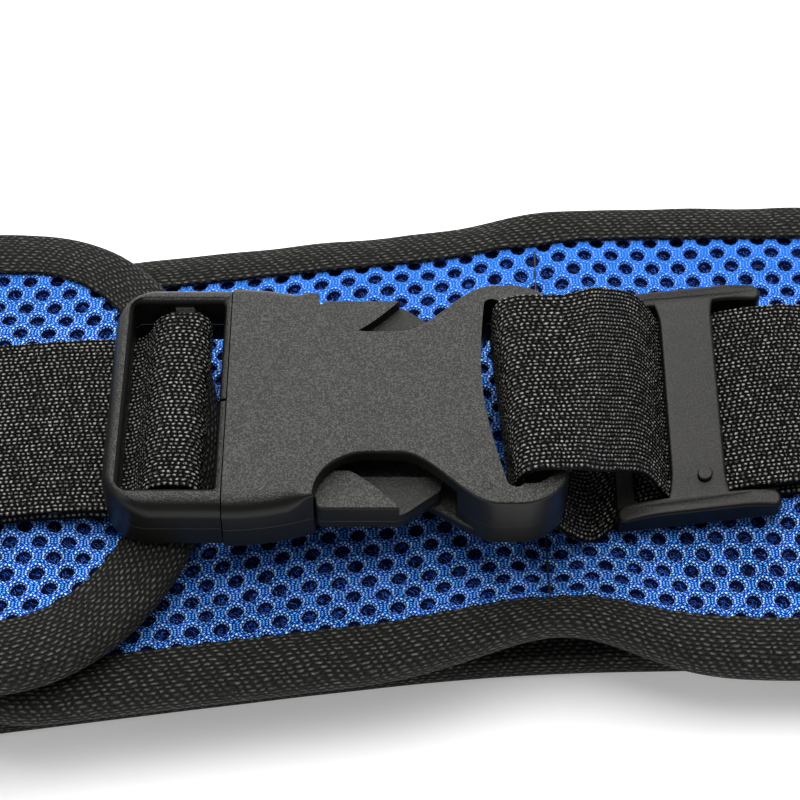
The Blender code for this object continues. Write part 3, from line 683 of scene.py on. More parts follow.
def straightPart(run, step):
    # Places from a run's joined end to where its rounded end begins
    return evenSteps(run["start"] if run["facing"] > 0 else run["end"], run["middle"], step)


def stationsOf(run, step):
    # Places along a run; a rounded end is spaced by a sine so that its tip is well drawn
    if not run["facing"]:
        return evenSteps(run["start"], run["end"], step)
    swing = np.linspace(0, math.pi / 2 * belt["tipShare"], belt["tipSteps"])[1:]
    line = np.concatenate([straightPart(run, step),
                           run["middle"] + run["facing"] * belt["endLong"] * np.sin(swing)])
    return line if run["facing"] > 0 else line[::-1]


def makeSlab(name, run, stuff, node, heights):
    # A closed layer of the band: across its top from edge to edge and back across its underside
    s = stationsOf(run, belt["slabStep"])
    past = np.maximum(run["facing"] * (s - run["middle"]), 0.0) / belt["endLong"]
    half = (belt["half"] - belt["slabInset"]) * np.sqrt(np.maximum(1 - past ** 2, 1e-6))
    q = np.sin(np.linspace(-math.pi / 2, math.pi / 2, belt["slabAcross"]))
    v = half[:, None] * q[None]
    low, high = heights(run, s[:, None], v)
    top = run["place"](s[:, None], v, high)
    under = run["place"](s[:, None], v, low)[:, ::-1]
    piece = tube(name, np.concatenate([top, under], 1))
    settle(piece, merge=0.001)
    finishPiece(piece, stuff, [node], sharp=50)
    rideBand(piece, run)
    return piece


def padHeights(run, s, v):
    # From just over the inner cloth to just over the foot of the net's holes
    _, inner, outer = levels(run, s, v)
    high = np.maximum(outer - net["depth"] + belt["padSink"], inner + belt["padLeast"])
    return inner + belt["gap"] / 2, high


def liningHeights(run, s, v):
    # The two faces of the inner cloth
    return levels(run, s, v)[:2]


tape = dict(ripple=0.35, rippleLong=23.0, slowRate=0.21, edgeReach=1.9, bulge=0.7, still=0.15, fade=0.7,
            topSteps=9, turnSteps=9, step=3.0, fan=61, wide=dict(right=9.5, left=12.5))


def edgePath(run, side):
    # Stations along one edge, or along both edges and round the tip: the edge point and the way out from it
    if not run["facing"]:
        s = stationsOf(run, tape["step"])
        v = np.full_like(s, side * belt["half"])
        return s, v, 0 * s, np.full_like(s, side)
    line = straightPart(run, tape["step"])
    angle = np.linspace(-math.pi / 2, math.pi / 2, tape["fan"])[1:-1]
    fanS = run["middle"] + run["facing"] * belt["endLong"] * np.cos(angle)
    fanV = belt["half"] * np.sin(angle)
    s = np.concatenate([line, fanS, line[::-1]])
    v = np.concatenate([np.full_like(line, -belt["half"]), fanV, np.full_like(line, belt["half"])])
    outS, outV = np.where(np.abs(v) < belt["half"], s - run["middle"], 0.0), v
    reach = np.hypot(outS, outV)
    return s, v, outS / reach, outV / reach


def makeTape(name, run, side, stuff, node):
    # A folded tape: down the outer face, round the edge on a half ellipse and back along the inner face,
    # then the same inside the tape's thickness; a slow ripple moves it in and out
    s, v, outS, outV = edgePath(run, side)
    wide = tape["wide"].get(name.split("_")[0], belt["tapeWide"])
    inward = np.linspace(wide, 0.0, tape["topSteps"])
    loose = mix(tape["still"], 1.0, run["outward"](s))
    bulge = tape["bulge"] * loose[:, None] * np.sin(math.pi * np.linspace(0.0, 0.9, tape["topSteps"]))
    swing = np.linspace(math.pi / 2, -math.pi / 2, tape["turnSteps"])[1:-1]
    waves = np.sin(s * 2 * math.pi / tape["rippleLong"] + v) + np.sin(s * tape["slowRate"] + 0.3 * v)
    ripple = tape["ripple"] * loose * waves / 2
    skins = []
    for rise in (belt["gap"] + belt["tape"], belt["gap"] * 0.5):
        ds, dv = s[:, None] - outS[:, None] * inward, v[:, None] - outV[:, None] * inward
        low, _, high = levels(run, ds, dv)
        fade = 1 - tape["fade"] * inward / wide
        top = run["place"](ds, dv, high + rise + bulge + ripple[:, None] * fade)
        under = run["place"](ds, dv, low - rise)
        mid = (high[:, -1:] + low[:, -1:]) / 2
        halfHigh = (high[:, -1:] - low[:, -1:]) / 2 + rise
        reach = (rise + tape["edgeReach"] - belt["tape"]) * np.cos(swing)
        lift = mid + halfHigh * np.sin(swing) + ripple[:, None] * np.sin(swing).clip(0)
        turned = run["place"](s[:, None] + outS[:, None] * reach, v[:, None] + outV[:, None] * reach, lift)
        skins.append(np.concatenate([top, turned, under[:, ::-1]], 1))
    outer, inner = skins
    points = np.concatenate([outer, inner[:, ::-1]], 1)
    piece = tube(name, points)
    steps = np.linalg.norm(np.diff(points, axis=1), axis=2)
    around = np.concatenate([0 * steps[:, :1], steps, 0 * steps[:, :1] + belt["tape"]], 1).cumsum(1)
    tubeUv(piece, runLength(outer[:, outer.shape[1] // 2]) + run["start"], around)
    settle(piece)
    finishPiece(piece, stuff, [node], sharp=60)
    rideBand(piece, run)


netYarn, padDark, innerCloth, twill = netStuff(), padStuff(), clothStuff(), tapeStuff()
for name, run in runs.items():
    makeNet(f"{name}_net", run, netYarn)
    pad = makeSlab(f"{name}_pad", run, padDark, f"{name}_foam", padHeights)
    makeSlab(f"{name}_inner_cloth", run, innerCloth, f"{name}_lining", liningHeights)
    if run["facing"]:
        makeTape(f"{name}_tape", run, 1.0, twill, f"{name}_binding")
    else:
        makeTape(f"{name}_tape_front", run, -1.0, twill, f"{name}_binding_front")
        makeTape(f"{name}_tape_rear", run, 1.0, twill, f"{name}_binding_rear")
print("band: nets, pads, inner cloth and tapes")


# Webbing: a flat strap swept along a path in the XZ plane, with its weave as real relief

web = dict(half=25.0, thick=1.7, lane=1.0869, beat=1.26, flatness=2.2, relief=0.24, valley=0.15, sink=0.6,
           edge=0.55, edgeLeast=0.04, flatFrom=0.9, step=0.42, sewnStep=0.8, laneSteps=2)
buckle = dict(y=1.0, low=leftTop + 0.4, high=14.5, plate=3.1, play=0.6, jointX=-38.0, endX=36.5, extra=8.0,
              mouthHalf=32.5, mouthWall=4.2, mouthLong=19.5, mouthTaper=3.4, mouthEase=4.5, footEase=0.9,
              topWaist=17.5, bottomWaist=21.5, waistEase=0.6, waistTo=0.0, archLong=11.5, easeFrom=14.0,
              easeLong=5.0, lobeHalf=31.5, lobeX=21.0, lobeRound=11.0, slotX=18.3, slotLong=6.6, slotBow=2.7,
              slotPower=1.7, slotWall=6.0, slotHalf=26.2, slotSlack=0.9, slotRound=2.0, slant=0.075,
              slantFrom=3.0, slantLong=10.0, barLow=2.0, barHigh=8.8, hook=3.6, hookFrom=1.5, hookLong=8.0,
              floorEnd=16.0, floorInset=0.4, floorLift=0.3)
buckleTop = buckle["low"] + buckle["high"]
mouthEnd = buckle["jointX"] + buckle["mouthLong"]
tabLow = buckle["low"] + buckle["plate"] + buckle["play"]
tabTop = buckleTop - buckle["plate"] - buckle["play"]
plug = dict(x=-64.5, half=32.0, bar=4.2, side=5.2, relief=7.0, rollX=-53.0, rollLong=8.0, rollLow=4.2,
            rollHigh=10.5, rollEase=2.0, cross=1.5, tongueHalf=8.0, tongueLong=26.0, round=11.0,
            windowRound=1.5, crown=4.6, crownShare=0.76, slit=(-2.6, -1.8), slitDeep=3.0)
slider = dict(x=66.9, long=37.3, half=31.0, end=4.4, side=4.7, centre=12.4, high=5.5, sideHigh=2.0,
              centreLow=3.5, centreHigh=6.6, round=2.0, fall=2.0, fallFrom=0.45, flare=0.16, flareFrom=0.75,
              dropFrom=0.72, endShare=0.25, nubX=(-0.3, 3.1), nubY=(2.4, 5.8), nubRound=1.65)
sewnZ = rightTop + belt["gap"] + web["thick"] / 2
sliderZ = sewnZ + web["thick"] / 2 + belt["gap"]
strapWay = dict(riseX=45.0, slope=0.13, step=9.5, stepLong=20.0, sewnX=135.0, tailX=120.0, leftSewnX=-150.0,
                leftSkew=-3.0)


def strapLine(x):
    # Sideways place of the right strap: straight in the socket, then a smooth step and a slope
    away = np.maximum(x - buckle["endX"], 0.0)
    return buckle["y"] + strapWay["step"] * smooth(away / strapWay["stepLong"]) + strapWay["slope"] * away


def strapTilt(x, y):
    # The strap is level in the socket and takes the band's tilt before it meets the pad
    share = smooth((x - buckle["endX"]) / (strapWay["riseX"] - buckle["endX"]))
    return share * belt["tilt"] * (y - belt["bendY"])


def leftLine(x):
    # Sideways place of the left strap: a smooth step from the plug to half way along
    far = (plug["x"] - x) / (plug["x"] - strapWay["leftSewnX"]) * 2
    return buckle["y"] + strapWay["leftSkew"] * smooth(far)


def roundPath(corners, reach, steps=12):
    # Each corner of a path becomes a quadratic curve that starts and ends at most reach away from it
    corners = [np.array(point, float) for point in corners]
    path = [corners[0][None]]
    share = np.linspace(0, 1, steps)[:, None]
    for before, corner, after in zip(corners, corners[1:], corners[2:]):
        near = min(reach, np.linalg.norm(before - corner) / 2)
        far = min(reach, np.linalg.norm(after - corner) / 2)
        start = corner + (before - corner) * near / np.linalg.norm(before - corner)
        end = corner + (after - corner) * far / np.linalg.norm(after - corner)
        path.append(mix(mix(start, corner, share), mix(corner, end, share), share))
    path.append(corners[-1][None])
    return np.concatenate(path)


def evenPath(path, step):
    # Points at equal distances along a path, and the distance at each
    run = runLength(path)
    along = np.linspace(0, run[-1], max(int(run[-1] / step), 2) + 1)
    return np.stack([np.interp(along, run, path[:, k]) for k in (0, 1)], -1), along


def aboutSlider(long):
    # A span along the slider: its middle less and plus half the length
    return slider["x"] - long / 2, slider["x"] + long / 2


def makeStrap(name, corners, reach, line, tilted, stuff, node, step=None, slant=0.0):
    # The strap's two faces are offset from the path along its normal; warp lanes stand up in rounded floats,
    # every second pair half a beat on, and the edges thin to a rounded selvedge
    path, along = evenPath(roundPath(corners, reach), step or web["step"])
    run = np.gradient(path, axis=0)
    run /= np.linalg.norm(run, axis=1)[:, None]
    normal = np.stack([-run[:, 1], run[:, 0]], -1)
    lanes = int(2 * web["half"] / web["lane"])
    y = np.linspace(-web["half"], web["half"], lanes * web["laneSteps"] + 1)
    lane = (y + web["half"]) / web["lane"]
    ridge = np.sin(math.pi * (lane % 1.0))
    phase = (along[:, None] / web["beat"] + 0.5 * np.floor(lane / 2)) % 1.0
    bump = 1 - np.abs(2 * phase - 1) ** web["flatness"]
    weave = web["relief"] * (ridge * mix(web["valley"], 1.0, bump) - web["sink"])
    past = np.maximum((np.abs(y) - web["half"] + web["edge"]) / web["edge"], 0)
    shoulder = np.sqrt(np.maximum(1 - past ** 2, web["edgeLeast"]))
    lean = slant * smooth((buckle["endX"] + buckle["slantFrom"] - path[:, :1]) / buckle["slantLong"])
    rings = []
    for sign in (1.0, -1.0):
        out = sign * (web["thick"] / 2 * shoulder + weave * (shoulder > web["flatFrom"]))
        px = path[:, :1] + normal[:, :1] * out - lean * y
        py = line(path[:, :1]) + y + 0 * out
        pz = path[:, 1:] + normal[:, 1:] * out
        pz = pz + (strapTilt(path[:, :1], py) if tilted else 0.0)
        rings.append(np.stack([px, py, pz], -1))
    piece = tube(name, np.concatenate([rings[0], rings[1][:, ::-1]], 1))
    tubeUv(piece, along, np.concatenate([y, y[::-1], y[:1]])[None] + web["half"])
    settle(piece)
    return finishPiece(piece, stuff, [node], sharp=80)


def makeLeftStrap(stuff):
    # In two layers along the band, the upper one rising over the plug's bar and coming back below it
    lie = web["thick"] / 2 + belt["gap"]
    low = leftTop + lie
    high = low + web["thick"] + belt["gap"]
    barLeft = plug["rollX"] - lie
    barRight = plug["rollX"] + plug["rollLong"] + lie
    over = buckle["low"] + plug["rollHigh"] + lie
    rise = barLeft - 2 * web["thick"]
    far = strapWay["leftSewnX"]
    corners = [(far, high), (rise, high), (barLeft, over), (barRight, over), (barRight, low), (far, low)]
    piece = makeStrap("left_webbing", corners, plug["rollLong"] / 2, leftLine, False, stuff, "left_strap")
    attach(piece, "plug_end")


def makeRightStraps(stuff):
    # Sewn on the band, round the socket's bar, in an arch to the slider, under its middle bar and on as
    # a tail
    lie = web["thick"] / 2 + belt["gap"]
    thick, gap = web["thick"], belt["gap"]
    barLeft = buckle["slotX"] + buckle["slotLong"]
    underBar = buckle["low"] + buckle["barLow"] - lie
    through = barLeft - lie - gap
    bridge = sliderZ + slider["sideHigh"] + lie
    tuck = sliderZ + slider["centreLow"] - lie
    centreLeft, centreRight = aboutSlider(slider["centre"])
    sideLeft, sideRight = aboutSlider(slider["long"])
    split = centreLeft + thick
    crest = buckleTop + 2 * thick
    tailZ = sewnZ + thick + gap
    riseX = strapWay["riseX"]
    sewn = [(strapWay["sewnX"], sewnZ), (riseX, sewnZ)]
    piece = makeStrap("sewn_webbing", sewn, 1.0, strapLine, True, stuff, "strap_sewn", step=web["sewnStep"])
    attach(piece, "belt")
    loop = [(riseX, sewnZ), (mix(riseX, buckle["endX"], 0.3), sewnZ), (barLeft + 2 * thick, underBar),
            (barLeft - thick, underBar), (through, underBar + 2 * thick), (through, buckleTop),
            (through + 2 * thick, crest), (sideLeft - 4 * thick, crest),
            (sideLeft + slider["side"] + thick, bridge + slider["high"] + 2 * thick),
            (centreLeft - 2 * lie, sliderZ + slider["centreLow"] + thick), (centreLeft - lie, tuck),
            (split, tuck)]
    piece = makeStrap("loop_webbing", loop, 3 * thick, strapLine, True, stuff, "strap_loop",
                      slant=buckle["slant"])
    y = float(strapLine(sideLeft)) * mm
    bridge * mm
    bridge * mm
    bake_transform(piece)
    threaded = [(split, tuck), (centreRight, tuck), (sideRight - slider["side"] - gap, bridge),
                (sideRight + gap, bridge), (sideRight + thick, bridge)]
    piece = makeStrap("slider_webbing", threaded, 2 * thick, strapLine, True, stuff, "strap_in_slider")
    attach(piece, "slider")
    tail = [(sideRight + thick, bridge), (sideRight + 3 * thick, bridge), (sideRight + 8 * thick, tailZ),
            (strapWay["tailX"], tailZ)]
    piece = makeStrap("tail_webbing", tail, 2 * thick, strapLine, True, stuff, "strap_tail")
    start, end = (sideRight + 8 * thick) * mm, (sideRight + 2 * thick) * mm
    tailZ * mm
    tailZ * mm
    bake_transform(piece)


blackWebbing = webbingStuff()
makeLeftStrap(blackWebbing)
makeRightStraps(blackWebbing)
print("webbing: left strap, sewn strap, loop, slider strap and tail")


# Buckle

def insetBy(outline, distance):
    # Every corner of a ring moves inwards along the sum of its two edge normals, over one plus their product
    before = outline - np.roll(outline, 1, 0)
    after = np.roll(outline, -1, 0) - outline
    normals = [np.stack([-edge[:, 1], edge[:, 0]], 1) / np.linalg.norm(edge, axis=1)[:, None]
               for edge in (before, after)]
    lean = (normals[0] + normals[1]) / (1 + (normals[0] * normals[1]).sum(1))[:, None]
    return outline + lean * np.asarray(distance).reshape(-1, 1)


def slab(name, outline, low, high, topEase, lowEase, steps=5):
    # An outline carried up a profile: a quarter round at the foot, a straight wall and a quarter round on top
    topEase = np.broadcast_to(topEase, len(outline))
    turn = np.linspace(0, math.pi / 2, steps + 1)
    rings = []
    for angle in turn:
        ring = insetBy(outline, lowEase * (1 - math.sin(angle)))
        rings.append(np.c_[ring, np.full(len(ring), low + lowEase * (1 - math.cos(angle)))])
    for angle in turn:
        ring = insetBy(outline, topEase * (1 - math.cos(angle)))
        rings.append(np.c_[ring, high - topEase * (1 - math.sin(angle))])
    return tube(name, np.stack(rings))


def roundRect(xs, ys, leftRound, rightRound, arcSteps, sideSteps):
    # A rectangle with a quarter circle at each corner, counter-clockwise, with points along its sides too
    (x0, x1), (y0, y1) = xs, ys
    left, right = x0 + leftRound, x1 - rightRound
    turns = [(left, y0 + leftRound, leftRound, 180), (right, y0 + rightRound, rightRound, 270),
             (right, y1 - rightRound, rightRound, 0), (left, y1 - leftRound, leftRound, 90)]
    arcs = []
    for x, y, radius, start in turns:
        angle = np.radians(start + np.linspace(0, 90, arcSteps))
        arcs.append(np.stack([x + radius * np.cos(angle), y + radius * np.sin(angle)], 1))
    sides = []
    for arc, after in zip(arcs, arcs[1:] + arcs[:1]):
        share = np.linspace(0, 1, sideSteps + 2)[1:-1, None]
        sides += [arc, mix(arc[-1], after[0], share)]
    return np.concatenate(sides)


def cutter(name, outline, zs):
    # A nearly sharp slab, used to cut or join
    return slab(name, outline, *zs, 0.1, 0.1, 1)


def block(name, xs, ys, zs):
    # A box whose upright edges are rounded by a hair
    return cutter(name, roundRect(xs, ys, 0.2, 0.2, 2, 0), zs)


def across(half):
    # A span across the buckle: its middle less and plus the half width
    return buckle["y"] - half, buckle["y"] + half


def bothSides(x, half):
    # An outline that goes out along the front at the half width and back along the rear
    return np.concatenate([np.stack([x, -half], 1), np.stack([x, half], 1)[::-1]])


def plateHalf(x, waist):
    # Half width of a socket plate: a mouth that narrows slowly, a quarter ellipse into the waist, then a
    # smooth step out to the lobe, which ends in a quarter circle
    share = np.clip((x - buckle["jointX"]) / buckle["mouthLong"], 0.0, 1.0)
    mouth = buckle["mouthHalf"] - buckle["mouthTaper"] * share ** 2
    arch = np.clip(1 - (x - mouthEnd) / buckle["archLong"], 0.0, 1.0)
    reach = buckle["mouthHalf"] - buckle["mouthTaper"] - waist
    half = np.where(x < mouthEnd, mouth, waist + reach * (1 - np.sqrt(1 - arch ** 2)))
    toLobe = smooth((x - buckle["waistTo"]) / (buckle["lobeX"] - buckle["waistTo"]))
    half = half + (buckle["lobeHalf"] - waist) * toLobe
    past = np.maximum(x - buckle["endX"] + buckle["lobeRound"], 0.0)
    return half - buckle["lobeRound"] + np.sqrt(np.maximum(buckle["lobeRound"] ** 2 - past ** 2, 0.0))


def plateOutline(waist):
    # Stations close together at both ends, along the front from mouth to lobe and back along the rear
    start, end = buckle["jointX"] - buckle["extra"], buckle["endX"]
    x = np.concatenate([np.linspace(start, mouthEnd, 16)[:-1],
                        mouthEnd + buckle["archLong"] * np.linspace(0, 1, 18) ** 2,
                        np.linspace(mouthEnd + buckle["archLong"] + 1, end - 6, 28),
                        end - 5.2 * np.linspace(1, 0, 14) ** 2])
    return bothSides(x, plateHalf(x, waist)) + (0, buckle["y"])


def makeSocket(stuff):
    # The plate's outline as a solid, less the cavity and all beyond the joint, plus a wider floor, less the
    # slanted slot and the strap's room above and below the end bar
    low, high = buckle["low"], buckleTop
    outline = plateOutline(buckle["topWaist"])
    toWaist = smooth((outline[:, 0] - buckle["jointX"] - buckle["easeFrom"]) / buckle["easeLong"])
    ease = mix(buckle["mouthEase"], buckle["waistEase"], toWaist)
    body = slab("socket_shell", outline, low, high, ease, buckle["footEase"])
    cavity = block("cavity", (buckle["jointX"] - 2, buckle["slotX"] - buckle["slotWall"]),
                   across(buckle["mouthHalf"] - buckle["mouthWall"]),
                   (low + buckle["plate"], high - buckle["plate"]))
    beyond = block("beyond", (buckle["jointX"] - 2 * buckle["extra"], buckle["jointX"]), (-50.0, 50.0),
                   (low - 5, high + 5))
    carve(body, [cavity, beyond], "DIFFERENCE")
    x = np.linspace(mouthEnd - 1.0, buckle["floorEnd"], 40)
    floorHalf = plateHalf(x, buckle["bottomWaist"]) - buckle["floorInset"]
    floorPlate = slab("floor_plate", bothSides(x, floorHalf) + (0, buckle["y"]), low + buckle["floorLift"],
                      low + buckle["plate"] - 0.2, 0.5, 0.5)
    carve(body, [floorPlate], "UNION")
    right, endRound = buckle["slotX"] + buckle["slotLong"], buckle["slotRound"]
    y = np.linspace(-1, 1, 25) * (buckle["slotHalf"] + buckle["slotSlack"] - endRound)
    leftEdge = right - 2 * endRound - buckle["slotBow"] * (1 - np.abs(y / y[-1]) ** buckle["slotPower"])
    turn = np.radians(np.linspace(0, 180, 13))
    cap = np.stack([right - endRound + endRound * np.cos(turn), y[-1] + endRound * np.sin(turn)], 1)
    slotLine = np.concatenate([cap, np.stack([leftEdge, y], 1)[::-1][1:-1], cap[::-1] * (1, -1)])
    x = np.linspace(right - 0.6, buckle["endX"] + 5.0, 20)
    hooked = smooth((x - right - buckle["hookFrom"]) / buckle["hookLong"])
    reach = buckle["slotHalf"] - buckle["hook"] * hooked
    under = roundRect((x[0], x[-1]), (-buckle["slotHalf"], buckle["slotHalf"]), 0.2, 0.2, 2, 0)
    cuts = {"slot": (slotLine, (low - 1, high + 1)),
            "above_bar": (bothSides(x, reach), (low + buckle["barHigh"], high + 1)),
            "below_bar": (under, (low - 1, low + buckle["barLow"]))}
    slant = np.array([[1.0, 0.0], [-buckle["slant"], 1.0]])
    carve(body, [cutter(name, line @ slant + (0, buckle["y"]), zs) for name, (line, zs) in cuts.items()],
          "DIFFERENCE")
    finishPiece(body, stuff, ["socket_body"], sharp=32)
    crisp(body)
    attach(body, "belt")


def makePlug(stuff):
    # A ring lofted from its outer outline to its window over a rounded crown, open under its left bar
    low, high = buckle["low"] + belt["gap"], buckleTop - belt["gap"]
    right = buckle["jointX"] - belt["gap"]
    inner = plug["half"] - plug["side"]
    outer = roundRect((plug["x"], right + buckle["extra"]), across(plug["half"]), plug["round"], 0.8, 14, 16)
    window = roundRect((plug["x"] + plug["bar"], right - plug["cross"]), across(inner), plug["windowRound"],
                       0.8, 14, 16)
    crown = plug["crown"]
    left = smooth((plug["x"] + plug["bar"] + 2.0 - window[:, 0]) / 2.0)
    relief = plug["relief"] * left * smooth((inner - np.abs(outer[:, 1] - buckle["y"])) / 2.5)
    foot = low + relief
    arc = np.linspace(0, math.pi / 2, 8)
    # The section: the share of the way from outline to window, and the height there
    profile = [(0.18, foot), (0.05, foot + 0.35), (0.0, foot + 1.2)]
    profile += [(plug["crownShare"] * (1 - math.cos(angle)), high - crown * (1 - math.sin(angle)))
                for angle in arc]
    profile += [(0.86, high - 0.10 * crown), (0.95, high - 0.16 * crown), (1.0, high - 0.30 * crown)]
    profile += [(1.0, foot + 0.8), (0.94, foot + 0.2), (0.85, foot)]
    rings = [np.c_[mix(outer, window, share), np.broadcast_to(z, len(outer))] for share, z in profile]
    count = len(outer)
    faces = gridFaces(len(rings) + 1, count, closed=True) % (len(rings) * count)
    ring = plainMesh("plug_shell", np.concatenate(rings), faces)
    beyond = block("beyond", (right, right + 2 * buckle["extra"]), (-50.0, 50.0), (low - 5, high + 5))
    carve(ring, [beyond], "DIFFERENCE")
    rollZ = (buckle["low"] + plug["rollLow"], buckle["low"] + plug["rollHigh"])
    rollX = (plug["rollX"], plug["rollX"] + plug["rollLong"])
    rollLine = roundRect(rollX, across(inner + 0.8), 0.3, 0.3, 3, 4)
    roll = slab("roll_bar", rollLine, *rollZ, plug["rollEase"], plug["rollEase"])
    tongueX = (right - plug["cross"] / 2, right + plug["tongueLong"])
    tongueLine = roundRect(tongueX, across(plug["tongueHalf"]), 0.5, 3.0, 6, 4)
    tongue = slab("tongue", tongueLine, tabLow, tabTop, 0.8, 0.8)
    carve(ring, [roll, tongue], "UNION")
    slit = block("slit", (right - plug["cross"] - 1, right + 1), [buckle["y"] + y for y in plug["slit"]],
                 (high - plug["slitDeep"], high + 1))
    carve(ring, [slit], "DIFFERENCE")
    finishPiece(ring, stuff, ["plug_frame"], sharp=38)
    crisp(ring)
    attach(ring, "plug_end")


prong = dict(pivotY=23.0, half=3.0, tabHalf=30.0, tabLong=23.5, tip=3.5, tabInner=19.5, leafStart=-13.0,
             leafEnd=0.5, leafPower=1.4, sink=2.6, soft=1.6)


def softCorners(corners, reach):
    # A closed outline whose corners are quadratic curves
    return roundPath([*corners, *corners[:2]], reach, 6)[1:-1]


def makeProng(name, sign, body, stuff):
    # A sprung arm with a wide finger tab; its top is a leaf that ends in a curve, beyond which it is sunk
    tabX = mouthEnd + buckle["play"]
    tip = tabX + prong["tabLong"] + prong["tip"]
    root = buckle["jointX"] + belt["gap"]
    armOut, armIn = prong["pivotY"] + prong["half"], prong["pivotY"] - prong["half"]
    inner, half = prong["tabInner"], prong["tabHalf"]
    corners = [(root, armIn), (tabX, inner), (tip, inner), (tip, prong["pivotY"]), (prong["leafEnd"], half),
               (tabX, half), (tabX - buckle["play"], armOut), (root, armOut)]
    outline = softCorners(corners, prong["soft"])
    share = np.linspace(1, 0, 16)
    edge = np.stack([mix(prong["leafStart"], prong["leafEnd"], share),
                     mix(inner - 0.5, half + 0.6, share ** prong["leafPower"])], 1)
    foot = edge[-1, 1] - 2
    sunk = np.concatenate([[(edge[-1, 0], foot), (tip + 2, foot), (tip + 2, edge[0, 1])], edge])
    rings = [outline, sunk]
    if sign < 0:
        rings = [ring[::-1] * (1, -1) for ring in rings]
    outline, sunk = (ring + (0, buckle["y"]) for ring in rings)
    arm = slab(name, outline, tabLow, tabTop, 0.5, 0.6)
    carve(arm, [cutter("shelf", sunk, (tabTop - prong["sink"], tabTop + 2))], "DIFFERENCE")
    finishPiece(arm, stuff, ["prong_front" if sign < 0 else "prong_rear"], sharp=32)
    crisp(arm)
    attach(arm, body)


def sweptBar(name, xs, ys, zs, ease, flare=0.0, drop=0.0, stations=24):
    # A bar along Y: its eased rectangular section in XZ, widened by the flare and lowered by the drop
    # towards both ends
    (x0, x1), (z0, z1) = xs, zs
    section = roundRect(xs, zs, ease, ease, 5, 4)
    y = np.linspace(*ys, stations)
    end = np.abs(y - (ys[0] + ys[1]) / 2) / ((ys[1] - ys[0]) / 2)
    wider = 1 + flare * np.maximum((end - slider["flareFrom"]) / slider["endShare"], 0.0) ** 2
    middle = (x0 + x1) / 2
    x = middle + (section[None, :, 0] - middle) * wider[:, None]
    near = smooth((end - slider["dropFrom"]) / slider["endShare"])[:, None]
    lower = drop * near * (section[None, :, 1] - z0) / (z1 - z0)
    points = np.stack([x, np.broadcast_to(y[:, None], x.shape), section[None, :, 1] - lower], -1)
    return tube(name, points, flip=True)


def makeSlider(stuff):
    # Two rails and three bars made level, then sheared along the strap's line and the band's tilt
    left, right = aboutSlider(slider["long"])
    inner = slider["half"] - slider["end"]
    z0, z1 = sliderZ, sliderZ + slider["high"]
    rails = []
    for near, far in ((-slider["half"], -inner), (inner, slider["half"])):
        ring = roundRect((left, right), (near, far), slider["round"], slider["round"], 8, 14)
        rails.append(slab("rail", ring, z0, z1, 0.9, 0.6))
    body, rear = rails
    span = (-inner - 1.0, inner + 1.0)
    low, high = (z0 + 0.3, z0 + slider["sideHigh"])
    parts = [rear, sweptBar("left_bar", (left + 0.3, left + slider["side"]), span, (low, high), 0.6),
             sweptBar("right_bar", (right - slider["side"], right - 0.3), span, (low, high), 0.6)]
    centreZ = (z0 + slider["centreLow"], z0 + slider["centreHigh"])
    parts.append(sweptBar("centre_bar", aboutSlider(slider["centre"]), span, centreZ, 0.8,
                          flare=slider["flare"], drop=slider["centreHigh"] - slider["high"] + 0.15))
    nub = roundRect([slider["x"] + x for x in slider["nubX"]], [y - inner for y in slider["nubY"]],
                    slider["nubRound"], slider["nubRound"], 7, 1)
    parts.append(slab("nub", nub, z0 + slider["high"] - 0.6, z0 + slider["centreHigh"] + 0.5, 0.35, 0.1, 4))
    carve(body, parts, "UNION")
    body.name = "strap_slider"
    points = np.zeros(len(body.data.vertices) * 3, np.float32)
    body.data.vertices.foreach_get("co", points)
    points = points.reshape(-1, 3) / mm
    far = np.abs(points[:, 0] - slider["x"]) / (slider["long"] / 2)
    fall = slider["fall"] * np.maximum((far - slider["fallFrom"]) / (1 - slider["fallFrom"]), 0.0) ** 2
    points[:, 2] -= fall * (points[:, 2] - z0) / slider["high"]
    points[:, 1] += strapLine(slider["x"]) + strapWay["slope"] * (points[:, 0] - slider["x"])
    points[:, 2] += tiltRise(belt["tiltTo"], points[:, 1])
    body.data.vertices.foreach_set("co", (points * mm).astype(np.float32).ravel())
    finishPiece(body, stuff, ["tri_glide"], sharp=35)
    crisp(body)
    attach(body, "slider")


grain = dict(grain=1.0, colour=(0.058, 0.057, 0.052), rough=0.34, parting=buckle["low"] + 6.0)
grained = plasticStuff("grainedPlastic", marks=[(18.6, -26.0, 0.95)], **grain)
# the tabs' plastic paints shade below half the shelf's depth
tabPlastic = plasticStuff("tabPlastic", sunk=tabTop - prong["sink"] / 2, **grain)
smoothPlastic = plasticStuff("smoothPlastic", 0.15, (0.034, 0.032, 0.027), 0.32)
makeSocket(grained)
makePlug(grained)
makeProng("front_tab", -1, "front_prong", tabPlastic)
makeProng("rear_tab", 1, "rear_prong", tabPlastic)
makeSlider(smoothPlastic)
print("buckle: socket, plug, tabs and slider")


# Sewing

stitch = dict(long=2.7, pitch=3.3, radius=0.45, sink=0.05, inset=3.0, leftLong=26.0, rightLong=9.0,
              seamRadius=0.30, seamSink=0.1, seamWave=0.15, seamPitch=3.2)


def makeSeam(stuff):
    # A thread laid in the valley of the quilting seam: a round section carried across the band
    v = np.linspace(-1, 1, 160) * (belt["half"] - belt["tapeWide"] + 1.0)
    s = np.full_like(v, belt["seamX"])
    wave = stitch["seamWave"] * np.sin(v * 2 * math.pi / stitch["seamPitch"])
    centre = placeRight(s, v, levels(runs["right"], s, v)[2] - stitch["seamSink"] + wave)
    turn = np.linspace(0, 2 * math.pi, 7)[:-1]
    ring = stitch["seamRadius"] * np.stack([np.cos(turn), 0 * turn, np.sin(turn)], 1)
    piece = tube("seam_thread", centre[:, None] + ring[None])
    settle(piece)
    finishPiece(piece, stuff, [])
    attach(piece, "belt")


